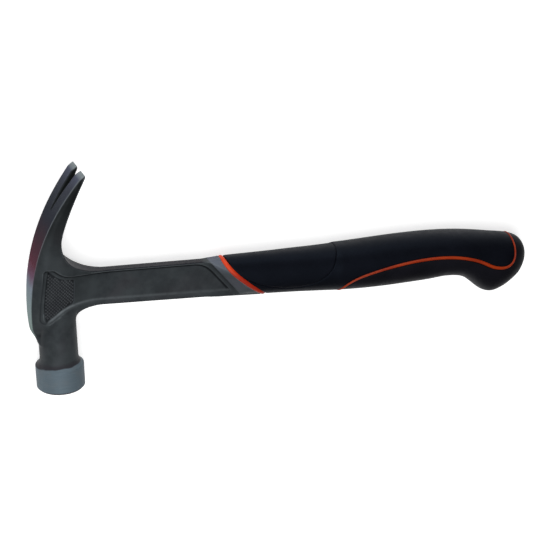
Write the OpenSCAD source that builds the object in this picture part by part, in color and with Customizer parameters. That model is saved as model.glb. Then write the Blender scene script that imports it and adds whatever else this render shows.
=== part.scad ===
// Framing hammer: a one-piece steel forging with a moulded two-colour grip.
// It lies on its side: +X runs along the shank to the butt, +Y to the claws, +Z up.
// The outlines are drawn from the point where the poll's axis crosses the shank's centreline.

/* [Striking end] */
// Diameter of the bell
bell_d = 30; // [28:0.5:32]
// Height of the bell's ground rim, chamfer left out
bell_rim_h = 14.5; // [11:0.5:18]
// Chamfer round the striking face
face_chamfer = 1.4; // [0.6:0.1:2]
// Height of the shoulder between the neck and the bell
bell_shoulder_h = 5.2; // [3:0.2:7]
// Diameter of the round neck
neck_d = 23.8; // [22.4:0.2:24.2]
// Distance from the shank's centreline to the striking face, along the poll
face_reach = 64.8; // [60:0.2:72]
// Lean of the poll towards the handle, in degrees
poll_lean = 5; // [3:0.5:7]

/* [Claws and crown] */
// Height of the claw tips above the shank's centreline
claw_reach = 77; // [70:0.2:84]
// Distance from the poll's axis out to the crown
crown_reach = 16; // [14.5:0.25:17]
// Drop from the shank's centreline to the heel, where the crown meets the neck
heel_drop = 33; // [31:0.5:36]
// Width across the claws at their tips
claw_tip_w = 28.6; // [26:0.2:29.4]
// Width across the cheeks
cheek_w = 24.4; // [24:0.1:25.4]
// Width of the crown's flat band at the claw tips
crown_band_tip_w = 27.2; // [24:0.2:28]
// Width of the crown's flat band at the heel
crown_band_heel_w = 7; // [5:0.5:9]
// Width of the nail slot at the claw tips
slot_tip_w = 8.3; // [7:0.1:10]
// Width of the nail slot at its root
slot_root_w = 1.6; // [1:0.1:2.4]
// Length of the nail slot
slot_len = 24; // [20:0.5:28]

/* [Shank] */
// Depth of the shank at the head
shank_h = 22.2; // [20:0.2:24]
// Depth of the shank where the collar starts
shank_collar_h = 23.4; // [21:0.2:24.6]
// Drop of the shank's middle line at the collar
shank_droop = 0.3; // [0:0.1:0.8]
// Thickness of the shank's flanges
shank_t = 7; // [6:0.2:8.4]
// Depth of the recess in each side of the shank and the cheeks
recess_depth = 1; // [0.6:0.1:1.4]
// Height of the shank's lower flange
lower_flange_h = 3.6; // [3:0.1:5]
// Height of the shank's upper flange
upper_flange_h = 1.3; // [1:0.1:2.4]
// Slant of the collar's front, in degrees
collar_slant = 42.4; // [40:0.2:44]
// Length over which the collar swells to the grip, square to its slant
collar_swell = 8.6; // [7:0.2:9]

/* [Tang] */
// Thickness of the tang inside the grip
tang_t = 5; // [4:0.2:6.4]
// Depth of the tang
tang_h = 13; // [11:0.5:15]
// Length of each keying window through the tang
window_len = 18; // [12:1:22]
// Height of each keying window
window_h = 6; // [4:0.5:7]

/* [Grip] */
// Distance from the poll's axis to the front of the grip at its top
grip_start = 104; // [102:0.5:106]
// Distance from the poll's axis to the end of the butt
butt_reach = 313.6; // [305:0.2:335]
// Rise of the palm swell above the shank's centreline
palm_rise = 19; // [17.5:0.5:20.5]
// Drop of the butt's hook below the shank's centreline
hook_drop = 24.2; // [22:0.2:26]
// Width of the grip at the palm
grip_w = 30; // [28.5:0.5:31]
// Thickness of the soft layer over the core
soft_t = 2.8; // [2:0.1:3.4]
// Width of the front accent ring, along the shank
ring_w = 3.6; // [2.6:0.2:5]
// Width of the side accent loop
loop_w = 1.7; // [1.2:0.1:2.6]

/* [Hidden] */
$fn = 96;

// One overrun serves every cut, and one reach is longer than the hammer.
over = 5;
reach = 3 * butt_reach;

// Claw outlines as shares of the crown's reach and of the claws' reach
claw_outer_shares = [[0.635, 0.966], [0.13, 0.81], [-1, 0.47], [-1, -0.026]];
claw_tip_shares = [[0.845, 1], [0.876, 0.98]];
claw_inner_shares = [[0.876, 0.98], [0.515, 0.806], [0.055, 0.545], [0.044, 0.437]];
root_top_shares = [0.057, 0.275];
root_run_share = 0.74;

// The heel below the centreline, as shares of the crown's reach and of the heel's drop
heel_shares = [[-1, -0.061], [-1.01, -0.333], [-0.96, -0.62], [-0.87, -0.8]];
heel_step_shares = [[-0.73, -0.9], [-0.56, -1.03]];
heel_inside_shares = [[-0.25, -0.79], [0.25, -0.61]];

// The flare from the cheeks to the shank
flare_end = 32;
flare_shares = [0.22, 0.44];
flare_t_share = 0.69;
cheek_top = 31;
cheek_overlap = 2;
claw_widening_share = 0.35;

// The fillet between the neck and the shank's underside
throat_run = 12.2;
throat_drop = 11.8;
throat_shares = [0.86, 0.82];

// The recess in the cheeks: corners as shares of the crown's reach and of the cheek's half width
recess_left_shares = [[-0.635, -1.53], [-0.515, 1.43]];
recess_top_shares = [[-0.15, 1.25], [0.085, 1.07], [0.26, 0.98], [0.76, 0.9]];
recess_low_shares = [[1.2, -0.58], [0.68, -0.69], [-0.11, -1.2]];

// Where the recess ends in front of the collar, along the shank
collar_foot = 103.9;
section_power = 2.3;
section_steps = 40;

// Tang and its windows
tang_window_shares = [0.3, 0.5, 0.7];
tang_line_shares = [[0, 0], [0.45, 0.06], [0.67, 0.16], [0.86, 0.02]];

// Grip stations: place along the grip, and its top, bottom and width
// as shares of the palm's rise, the hook's drop and the half width
station_shares = [
    [0, 0.68, 0.52, 0.57], [0.04, 0.695, 0.525, 0.61], [0.1, 0.708, 0.54, 0.66],
    [0.17, 0.726, 0.55, 0.71], [0.24, 0.75, 0.56, 0.77], [0.31, 0.772, 0.58, 0.825],
    [0.385, 0.815, 0.605, 0.88], [0.455, 0.869, 0.607, 0.92], [0.525, 0.924, 0.59, 0.953],
    [0.6, 0.965, 0.55, 0.975], [0.67, 0.982, 0.505, 0.987], [0.73, 0.968, 0.448, 0.995],
    [0.775, 0.94, 0.475, 1], [0.8, 0.917, 0.555, 1], [0.82, 0.897, 0.675, 1],
    [0.84, 0.872, 0.815, 1], [0.86, 0.845, 0.935, 0.998], [0.89, 0.8, 1, 0.985],
    [0.925, 0.75, 0.895, 0.935], [0.95, 0.7, 0.755, 0.84], [0.975, 0.585, 0.58, 0.67],
    [0.99, 0.39, 0.37, 0.48], [0.997, 0.2, 0.21, 0.3], [1, 0.09, 0.1, 0.14]];

// Lines drawn on the grip's side, as shares of its length and of the palm's rise
ring_shares = [[-0.005, 0.9], [0.009, 0.26], [0.068, -0.08], [0.15, -0.82]];
thumb_shares = [[0.06, 0.1], [0.12, -0.29], [0.17, -0.4], [0.213, -0.42]];
thumb_rise_shares = [[0.213, -0.42], [0.28, -0.453], [0.322, -0.08], [0.344, 0.337]];
seam_top_shares = [0.375, 1.1];
loop_start_shares = [[0.378, -0.84], [0.389, -0.44], [0.415, -0.25], [0.46, -0.1]];
loop_rise_shares = [[0.46, -0.1], [0.52, 0.1], [0.59, 0.262], [0.66, 0.3]];
loop_fall_shares = [[0.66, 0.3], [0.73, 0.338], [0.795, 0.24], [0.848, -0.058]];
loop_turn_shares = [[0.848, -0.058], [0.886, -0.29], [0.946, -0.42], [0.948, 0.2]];
loop_end_shares = [[0.948, 0.2], [0.949, 0.45], [0.945, 0.68], [0.938, 0.95]];

curve_steps = 12;
skin_slice = 0.02;

grip_len = butt_reach - grip_start;
collar_start = grip_start - collar_swell;
collar_top = shank_collar_h / 2 - shank_droop;
collar_low = shank_collar_h / 2 + shank_droop;
bell_top = face_reach - face_chamfer - bell_rim_h;
face_low = face_reach * cos(poll_lean) + (bell_d / 2 - face_chamfer) * sin(poll_lean);

// Places the box of the hammer over the origin, with its lowest point at z = 0.
module placed() {
    centre_x = (butt_reach - crown_reach) / 2;
    centre_y = (claw_reach - face_low) / 2;
    translate([-centre_x, -centre_y, max(bell_d, grip_w) / 2]) children();
}

function bezier(p, steps = curve_steps) = [
    for (i = [0:steps]) let (t = i / steps, u = 1 - t)
        u * u * u * p[0] + 3 * u * u * t * p[1] + 3 * u * t * t * p[2] + t * t * t * p[3]];

function claw_points(shares) = [for (s = shares) [s[0] * crown_reach, s[1] * claw_reach]];
function heel_points(shares) = [for (s = shares) [s[0] * crown_reach, s[1] * heel_drop]];
function cheek_points(shares) = [for (s = shares) [s[0] * crown_reach, s[1] * cheek_w / 2]];
function grip_points(shares) = [
    for (s = shares) [grip_start + s[0] * grip_len, s[1] * palm_rise]];

// The crown from the heel up to the claw tips, at the middle of its band
crown_up = concat(
    [heel_points(heel_step_shares)[1], heel_points(heel_step_shares)[0]],
    [for (i = [curve_steps:-1:1]) bezier(heel_points(heel_shares))[i]],
    [for (i = [curve_steps:-1:0]) bezier(claw_points(claw_outer_shares))[i]],
    [claw_points(claw_tip_shares)[0]]);

function band_half(y) =
    let (low = crown_band_heel_w / 2, high = crown_band_tip_w / 2)
    low + (high - low) * (y + heel_drop) / (claw_reach + heel_drop);

// Outlines in side view
module head_side() {
    root = claw_points(claw_inner_shares)[3];
    shank_top = [flare_end, shank_h / 2];
    root_curve = [
        root,
        [root_top_shares[0] * crown_reach, root_top_shares[1] * claw_reach],
        [root_run_share * crown_reach, shank_h / 2],
        shank_top];
    throat = [
        [throat_run, -throat_drop - shank_h / 2],
        [throat_run, -shank_h / 2 - (1 - throat_shares[1]) * throat_drop],
        [throat_run + (1 - throat_shares[0]) * throat_drop, -shank_h / 2],
        [flare_end, -shank_h / 2]];
    polygon(concat(
        crown_up,
        bezier(claw_points(claw_inner_shares)),
        [for (i = [1:curve_steps]) bezier(root_curve)[i]],
        [for (i = [curve_steps:-1:0]) bezier(throat)[i]],
        [heel_points(heel_inside_shares)[1], heel_points(heel_inside_shares)[0]]));
}

// Extrudes that run the other two ways, and one square to the crown's shoulders
module along_x(length) {
    rotate([90, 0, 90]) linear_extrude(length, center = true) children();
}

module along_y(length) {
    rotate([90, 0, 0]) linear_extrude(length, center = true) children();
}

// Half thickness of the cheeks in plan, flaring down to the shank
function flare_line(inset) = bezier([
    [0, cheek_w / 2 - inset],
    [flare_shares[0] * flare_end, cheek_w / 2 - inset],
    [flare_shares[1] * flare_end, flare_t_share * shank_t - inset],
    [flare_end, shank_t / 2 - inset]]);

module plan_outline(inset) {
    line = flare_line(inset);
    polygon(concat(
        [[-crown_reach - over, cheek_w / 2 - inset]],
        line,
        [[reach, shank_t / 2 - inset], [reach, inset - shank_t / 2]],
        [for (i = [len(line) - 1:-1:0]) [line[i][0], -line[i][1]]],
        [[-crown_reach - over, inset - cheek_w / 2]]));
}

module plan_limit() {
    along_y(reach) plan_outline(0);
    translate([-reach / 2, cheek_top - cheek_overlap, -reach / 2])
        cube([reach, reach, reach]);
}

module front_limit() {
    widening = bezier([
        [cheek_top, cheek_w / 2],
        [cheek_top + claw_widening_share * (claw_reach - cheek_top), cheek_w / 2],
        [claw_reach - claw_widening_share * (claw_reach - cheek_top),
         cheek_w / 2 + (1 - claw_widening_share) * (claw_tip_w - cheek_w) / 2],
        [claw_reach + over, claw_tip_w / 2]]);
    along_x(reach) polygon(concat(
        [[-heel_drop - over, cheek_w / 2]],
        widening,
        [for (i = [len(widening) - 1:-1:0]) [widening[i][0], -widening[i][1]]],
        [[-heel_drop - over, -cheek_w / 2]]));
}

// Keeps what lies behind a shoulder that leaves the crown's band at 45 degrees
module shoulder_limit(side) {
    first = crown_up[0];
    last = crown_up[len(crown_up) - 1];
    edge = concat(
        [[first[0], first[1] - over]],
        crown_up,
        [[last[0] + over, last[1] + over]]);
    rotate([0, side * 45, 0])
        linear_extrude(reach, center = true)
            polygon(concat(
                [for (p = edge) [(p[0] - band_half(p[1])) * cos(45), p[1]]],
                [[reach, last[1] + over], [reach, first[1] - over]]));
}

module head_block() {
    intersection() {
        linear_extrude(claw_tip_w, center = true) head_side();
        plan_limit();
        front_limit();
        shoulder_limit(1);
        shoulder_limit(-1);
    }
}

module nail_slot() {
    root_y = claw_reach - slot_len;
    tip_half = slot_tip_w / 2;
    root_half = slot_root_w / 2;
    along_x(reach) {
        polygon([
            [root_y, root_half], [root_y, -root_half],
            [claw_reach, -tip_half], [claw_reach + over, -tip_half],
            [claw_reach + over, tip_half], [claw_reach, tip_half]]);
        translate([root_y, 0]) circle(root_half);
    }
}

// Neck, bell and face, turned about the leaning poll
module poll() {
    neck_r = neck_d / 2;
    bell_r = bell_d / 2;
    shoulder = bezier([
        [neck_r, bell_top - bell_shoulder_h],
        [neck_r, bell_top - bell_shoulder_h / 2],
        [(neck_r + bell_r) / 2, bell_top],
        [bell_r, bell_top]], curve_steps / 2);
    rotate([0, 0, poll_lean]) rotate([90, 0, 0])
        rotate_extrude()
            polygon(concat(
                [[0, shank_h / 4], [neck_r, shank_h / 4]],
                shoulder,
                [[bell_r, face_reach - face_chamfer],
                 [bell_r - face_chamfer, face_reach],
                 [0, face_reach]]));
}

// The shank's blank, which ends where the grip begins
module shank() {
    end_x = collar_foot + shank_h / 2;
    linear_extrude(shank_t, center = true)
        difference() {
            polygon([
                [flare_end / 2, shank_h / 2], [collar_start, collar_top],
                [end_x, collar_top], [end_x, -collar_low],
                [collar_start, -collar_low], [flare_end / 2, -shank_h / 2]]);
            behind_front(0);
        }
}

// Outline of the side recess, from the crown to the collar
module recess_outline() {
    left = cheek_points(recess_left_shares);
    top = cheek_points(recess_top_shares);
    low = cheek_points(recess_low_shares);
    foot_rise = collar_top - upper_flange_h;
    foot_drop = collar_low - lower_flange_h;
    polygon(concat(
        [left[1]],
        top,
        [[flare_end, shank_h / 2 - upper_flange_h],
         [collar_foot - foot_rise * tan(collar_slant) + over, foot_rise],
         [collar_foot + foot_drop * tan(collar_slant) + over, -foot_drop],
         [flare_end, lower_flange_h - shank_h / 2]],
        low,
        [left[0]]));
}

module side_recess() {
    difference() {
        linear_extrude(cheek_w + over, center = true) recess_outline();
        along_y(reach) plan_outline(recess_depth);
    }
}

// The front of the grip in side view, moved back by a distance along the shank
function front_line(back) = [
    for (p = bezier(grip_points(ring_shares))) [p[0] + back, p[1]]];

// Everything in side view that lies behind the front line
module behind_front(back) {
    line = front_line(back);
    polygon(concat(
        [[line[0][0], palm_rise + over]],
        line,
        [[line[curve_steps][0] + over, -hook_drop - over],
         [butt_reach + over, -hook_drop - over],
         [butt_reach + over, palm_rise + over]]));
}

function section(half_h, half_w) = [
    for (i = [0:section_steps - 1])
        let (a = 360 * i / section_steps, e = 2 / section_power)
            [half_h * sign(cos(a)) * pow(abs(cos(a)), e),
             half_w * sign(sin(a)) * pow(abs(sin(a)), e)]];

// Half thickness of the collar, square to its slant
module swell_outline() {
    start = collar_foot * cos(collar_slant);
    full = grip_w / 2 * station_shares[2][3];
    swell = bezier([
        [start, shank_t / 2 - recess_depth],
        [start + collar_swell / 3, shank_t / 2],
        [start + collar_swell * 2 / 3, full],
        [start + collar_swell * 2, full]]);
    polygon(concat(
        swell,
        [[reach, full], [reach, -full]],
        [for (i = [curve_steps:-1:0]) [swell[i][0], -swell[i][1]]]));
}

module collar() {
    front_top = station_shares[0][1] * palm_rise;
    front_low = station_shares[0][2] * hook_drop;
    rear_low = station_shares[2][2] * hook_drop;
    section_h = (front_top + rear_low) / 2;
    section_y = (front_top - rear_low) / 2;
    section_w = grip_w * station_shares[2][3];
    end_x = grip_start + ring_shares[3][0] * grip_len + over;
    intersection() {
        linear_extrude(grip_w, center = true)
            difference() {
                polygon([
                    [collar_start, collar_top], [grip_start, front_top],
                    [end_x, front_top], [end_x, -rear_low],
                    [grip_start, -front_low], [collar_start, -collar_low]]);
                behind_front(0);
            }
        rotate([0, 0, collar_slant]) along_y(reach) swell_outline();
        along_x(reach) translate([section_y, 0]) polygon(section(section_h, section_w / 2));
    }
}

module tang_outline() {
    line = grip_points(tang_line_shares);
    half = tang_h / 2;
    difference() {
        polygon(concat(
            [for (p = line) [p[0], p[1] + half]],
            [for (i = [len(line) - 1:-1:0]) [line[i][0], line[i][1] - half]]));
        for (s = tang_window_shares)
            translate([grip_start + s * grip_len, tang_line_shares[1][1] * palm_rise])
                tang_window();
    }
}

module tang_window() {
    straight = window_len - window_h;
    square([straight, window_h], center = true);
    for (side = [-1, 1])
        translate([side * straight / 2, 0]) circle(window_h / 2);
}

module tang() {
    linear_extrude(tang_t, center = true) tang_outline();
}

module steel_body() {
    color("#3a3d40") placed() {
        difference() {
            union() {
                difference() {
                    head_block();
                    nail_slot();
                }
                poll();
                shank();
            }
            side_recess();
        }
        collar();
        tang();
    }
}

// The grip's skin as a chain of short hulls, drawn in by inset
module grip_skin(inset) {
    length = grip_len - inset;
    for (i = [0:len(station_shares) - 2])
        hull() {
            grip_slice(station_shares[i], inset, length);
            grip_slice(station_shares[i + 1], inset, length);
        }
}

module grip_slice(s, inset, length) {
    top = s[1] * palm_rise;
    low = -s[2] * hook_drop;
    half_h = max((top - low) / 2 - inset, skin_slice);
    half_w = max(s[3] * grip_w / 2 - inset, skin_slice);
    translate([grip_start + s[0] * length, (top + low) / 2, 0])
        rotate([90, 0, 90]) linear_extrude(skin_slice) polygon(section(half_h, half_w));
}

module soft_layer() {
    difference() {
        grip_skin(0);
        grip_skin(soft_t);
    }
}

// Regions of the grip in side view
module thumb_region() {
    seam = grip_points([seam_top_shares])[0];
    first = grip_points(thumb_shares)[0];
    polygon(concat(
        [[grip_start - over, palm_rise + over], [grip_start - over, first[1]]],
        bezier(grip_points(thumb_shares)),
        [for (i = [1:curve_steps]) bezier(grip_points(thumb_rise_shares))[i]],
        [seam, [seam[0], palm_rise + over]]));
}

module belly_region() {
    low = -hook_drop - over;
    first = grip_points(loop_start_shares)[0];
    last = grip_points(loop_end_shares)[3];
    polygon(concat(
        bezier(grip_points(loop_start_shares)),
        [for (i = [1:curve_steps]) bezier(grip_points(loop_rise_shares))[i]],
        [for (i = [1:curve_steps]) bezier(grip_points(loop_fall_shares))[i]],
        [for (i = [1:curve_steps]) bezier(grip_points(loop_turn_shares))[i]],
        [for (i = [1:curve_steps]) bezier(grip_points(loop_end_shares))[i]],
        [[butt_reach + over, last[1]], [butt_reach + over, low], [first[0], low]]));
}

module through_grip() {
    linear_extrude(grip_w + over, center = true) children();
}

module grip_core() {
    color("#1c1d20") placed()
        difference() {
            intersection() {
                grip_skin(soft_t);
                through_grip() behind_front(0);
            }
            tang();
        }
}

module front_accent_ring() {
    color("#e8541c") placed()
        intersection() {
            soft_layer();
            through_grip() difference() {
                behind_front(0);
                behind_front(ring_w);
            }
        }
}

module side_accent_loop() {
    color("#d2491a") placed()
        intersection() {
            soft_layer();
            through_grip() difference() {
                offset(r = loop_w / 2) belly_region();
                offset(r = -loop_w / 2) belly_region();
            }
        }
}

module thumb_pad() {
    color("#15171d") placed()
        intersection() {
            soft_layer();
            through_grip() intersection() {
                behind_front(ring_w);
                thumb_region();
            }
        }
}

module palm_grip() {
    color("#101116") placed()
        intersection() {
            soft_layer();
            through_grip() difference() {
                behind_front(ring_w);
                thumb_region();
                offset(r = loop_w / 2) belly_region();
            }
        }
}

module belly_grip() {
    color("#191b20") placed()
        intersection() {
            soft_layer();
            through_grip() offset(r = -loop_w / 2) belly_region();
        }
}

steel_body();
grip_core();
front_accent_ring();
side_accent_loop();
thumb_pad();
palm_grip();
belly_grip();
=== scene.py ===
import math
import bmesh
import bpy
import numpy as np
from mathutils import Matrix, Vector


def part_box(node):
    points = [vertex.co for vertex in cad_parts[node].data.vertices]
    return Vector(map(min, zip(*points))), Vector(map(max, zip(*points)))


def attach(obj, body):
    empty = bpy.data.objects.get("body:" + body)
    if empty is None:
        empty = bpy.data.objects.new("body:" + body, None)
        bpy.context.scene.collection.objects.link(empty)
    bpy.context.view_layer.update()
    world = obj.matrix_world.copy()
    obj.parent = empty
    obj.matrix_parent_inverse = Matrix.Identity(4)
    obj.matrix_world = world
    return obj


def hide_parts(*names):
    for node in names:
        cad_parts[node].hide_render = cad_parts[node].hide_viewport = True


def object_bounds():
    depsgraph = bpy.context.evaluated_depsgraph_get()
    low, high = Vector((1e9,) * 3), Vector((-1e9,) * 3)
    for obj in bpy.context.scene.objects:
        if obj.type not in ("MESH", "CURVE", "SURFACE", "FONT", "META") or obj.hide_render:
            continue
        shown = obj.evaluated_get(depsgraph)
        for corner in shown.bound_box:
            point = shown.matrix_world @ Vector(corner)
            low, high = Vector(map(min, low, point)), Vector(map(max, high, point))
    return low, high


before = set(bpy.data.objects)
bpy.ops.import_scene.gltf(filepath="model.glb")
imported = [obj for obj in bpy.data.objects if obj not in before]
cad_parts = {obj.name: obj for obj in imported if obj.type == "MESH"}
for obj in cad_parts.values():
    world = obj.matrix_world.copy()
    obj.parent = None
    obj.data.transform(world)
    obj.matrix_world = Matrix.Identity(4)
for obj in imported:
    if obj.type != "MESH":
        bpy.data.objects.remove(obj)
cadLow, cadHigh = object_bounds()
print("frame loaded:", ", ".join(sorted(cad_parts)))

# Every outline below is drawn in millimetres from the point where the poll's axis crosses the
# shank's centreline: x runs to the butt, y to the claws and z to the side that faces up.
reach = {"butt": 313.6, "claws": 77.0, "face": 64.8, "crown": 16.0}

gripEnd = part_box("belly_grip")[1].x
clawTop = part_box("steel_body")[1].y
middle = sum(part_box("steel_body")[i].z for i in (0, 1)) / 2
origin = np.array([gripEnd - reach["butt"] / 1000, clawTop - reach["claws"] / 1000, middle])


def toFrame(points):
    return np.asarray(points, float) / 1000 + origin


def addObject(name, data):
    made = bpy.data.objects.new(name, data)
    bpy.context.scene.collection.objects.link(made)
    return made


def evaluated(piece):
    return bpy.data.meshes.new_from_object(piece.evaluated_get(bpy.context.evaluated_depsgraph_get()))


# Camera: turned round the hammer, which lies on its side, as the photograph shows it

cameraView = {
    "turn": 20.91, "tilt": 21.38, "roll": -3.23,  # degrees
    "distance": 1500.0, "target": (142.56, -2.45, 0.0),  # mm
    "lens": 156.64, "sensor": 36.0,  # mm
    "clip": (0.05, 20.0),  # m
}


def makeCamera(view):
    turn, tilt, roll = (math.radians(view[k]) for k in ("turn", "tilt", "roll"))
    back = Vector((-math.sin(turn) * math.cos(tilt), math.sin(tilt), math.cos(turn) * math.cos(tilt)))
    level = Vector((math.cos(turn), 0, math.sin(turn)))
    rise = back.cross(level).normalized()
    right = math.cos(roll) * level - math.sin(roll) * rise
    up = math.sin(roll) * level + math.cos(roll) * rise
    data = bpy.data.cameras.new("camera")
    data.sensor_width = view["sensor"]
    data.lens = view["lens"]
    camera = addObject("camera", data)
    camera.matrix_world = Matrix((
        (right.x, up.x, back.x, 0), (right.y, up.y, back.y, 0), (right.z, up.z, back.z, 0), (0, 0, 0, 1)))
    camera.location = Vector(toFrame(view["target"])) + back * view["distance"] / 1000
    data.clip_start, data.clip_end = view["clip"]
    bpy.context.scene.camera = camera
    return camera


makeCamera(cameraView)
print("camera placed")


# Node trees: a plain value becomes a socket's own value, and another node's output is linked

class Nodes:
    def __init__(self, tree):
        self.tree = tree

    def node(self, kind, inputs=None, **settings):
        made = self.tree.nodes.new(kind)
        for key, value in settings.items():
            setattr(made, key, value)
        for key, value in (inputs or {}).items():
            self.link(value, made.inputs[key])
        return made

    def link(self, source, target):
        if hasattr(source, "is_linked"):
            self.tree.links.new(source, target)
        else:
            target.default_value = source

    def math(self, operation, *values):
        return self.node("ShaderNodeMath", dict(enumerate(values)), operation=operation).outputs[0]

    def span(self, value, low, high, to=(0.0, 1.0), smooth=True):
        return self.node(
            "ShaderNodeMapRange",
            {"Value": value, "From Min": low, "From Max": high, "To Min": to[0], "To Max": to[1]},
            interpolation_type="SMOOTHSTEP" if smooth else "LINEAR").outputs["Result"]


# Materials, with places in the hammer's own millimetres

class Finish(Nodes):
    def __init__(self, name):
        self.material = bpy.data.materials.new(name)
        self.material.use_nodes = True
        super().__init__(self.material.node_tree)
        self.shader = self.tree.nodes["Principled BSDF"]
        place = self.node("ShaderNodeTexCoord").outputs["Object"]
        centred = self.node("ShaderNodeVectorMath", {0: place, 1: tuple(origin)}, operation="SUBTRACT")
        self.place = self.node(
            "ShaderNodeVectorMath", {0: centred.outputs[0], "Scale": 1000.0}, operation="SCALE").outputs[0]

    def noise(self, size, detail=3.0, rough=0.55, vector=None, distortion=0.0):
        return self.node("ShaderNodeTexNoise", {
            "Vector": vector or self.place, "Scale": 1 / size, "Detail": detail, "Roughness": rough,
            "Distortion": distortion}).outputs["Fac"]

    def drift(self, size, detail, rough, swing):
        return self.span(self.noise(size, detail, rough), 0, 1, (-swing, swing), False)

    def mix(self, factor, a, b):
        a, b = (c if hasattr(c, "is_linked") else (*c, 1) for c in (a, b))
        return self.node("ShaderNodeMix", {0: factor, 6: a, 7: b}, data_type="RGBA").outputs[2]

    def attribute(self, name):
        return self.node("ShaderNodeAttribute", attribute_name=name).outputs["Fac"]

    def axis(self, which):
        return self.node("ShaderNodeSeparateXYZ", {0: self.place}).outputs[which]

    def ramp(self, value, stops):
        made = self.node("ShaderNodeValToRGB", {0: value})
        elements = made.color_ramp.elements
        while len(elements) < len(stops):
            elements.new(0.5)
        for element, (at, colour) in zip(elements, stops):
            element.position = at
            element.color = (*colour, 1)
        return made.outputs["Color"]

    def bump(self, height, depth, strength=1.0, below=None):
        made = self.node("ShaderNodeBump", {
            "Height": height, "Strength": strength, "Distance": depth / 1000})
        if below:
            self.link(below, made.inputs["Normal"])
        return made.outputs["Normal"]

    def shade(self, **sockets):
        for name, value in sockets.items():
            self.link(value, self.shader.inputs[name.replace("_", " ")])
        return self.material


# Curves and distances in millimetres

def bezier(points, steps=32):
    t = np.linspace(0, 1, steps + 1)[:, None]
    a, b, c, d = (np.array(p, float) for p in points)
    return (1 - t) ** 3 * a + 3 * (1 - t) ** 2 * t * b + 3 * (1 - t) * t ** 2 * c + t ** 3 * d


def outlineOf(*runs):
    points = np.concatenate([np.atleast_2d(np.array(r, float)) for r in runs])
    keep = np.linalg.norm(points - np.roll(points, 1, axis=0), axis=1) > 1e-4
    return points[keep]


def toSegment(x, y, start, end):
    (ax, ay), (bx, by) = start, end
    dx, dy = bx - ax, by - ay
    along = np.clip(((x - ax) * dx + (y - ay) * dy) / (dx * dx + dy * dy), 0, 1)
    return along, (x - ax - along * dx) ** 2 + (y - ay - along * dy) ** 2


def signedDistance(x, y, outline):
    nearest = np.full(np.shape(x), 1e12)
    inside = np.zeros(np.shape(x), bool)
    for start, end in zip(outline, np.roll(outline, -1, axis=0)):
        nearest = np.minimum(nearest, toSegment(x, y, start, end)[1])
        (ax, ay), (bx, by) = start, end
        if ay != by:
            inside ^= ((ay > y) != (by > y)) & (x < (bx - ax) * (y - ay) / (by - ay) + ax)
    return np.where(inside, -1, 1) * np.sqrt(nearest)


def tableAt(x, table):
    return np.interp(x, *zip(*table))


def columnsAt(x, at, table):
    return [np.interp(x, at, column) for column in table.T]


def lengthAlong(points):
    return np.concatenate([[0], np.cumsum(np.linalg.norm(np.diff(points, axis=0), axis=1))])


def smoothMax(a, b, radius):
    blend = 1.2 * radius
    share = np.maximum(blend - np.abs(a - b), 0) / blend
    return np.maximum(a, b) + share * share * blend / 4


def smoothMin(a, b, radius):
    return -smoothMax(-a, -b, radius)


def smoothStep(value, low, high):
    share = np.clip((value - low) / (high - low), 0, 1)
    return share * share * (3 - 2 * share)


def sampleTable(table, first, step, px, py):
    i = np.clip((px - first[0]) / step, 0, table.shape[0] - 1.001)
    j = np.clip((py - first[1]) / step, 0, table.shape[1] - 1.001)
    i0, j0 = i.astype(int), j.astype(int)
    u, v = i - i0, j - j0
    return ((1 - u) * (1 - v) * table[i0, j0] + u * (1 - v) * table[i0 + 1, j0]
            + (1 - u) * v * table[i0, j0 + 1] + u * v * table[i0 + 1, j0 + 1])


# The grip's sections: place along the grip, and top, bottom and width as shares of the sizes

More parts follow.
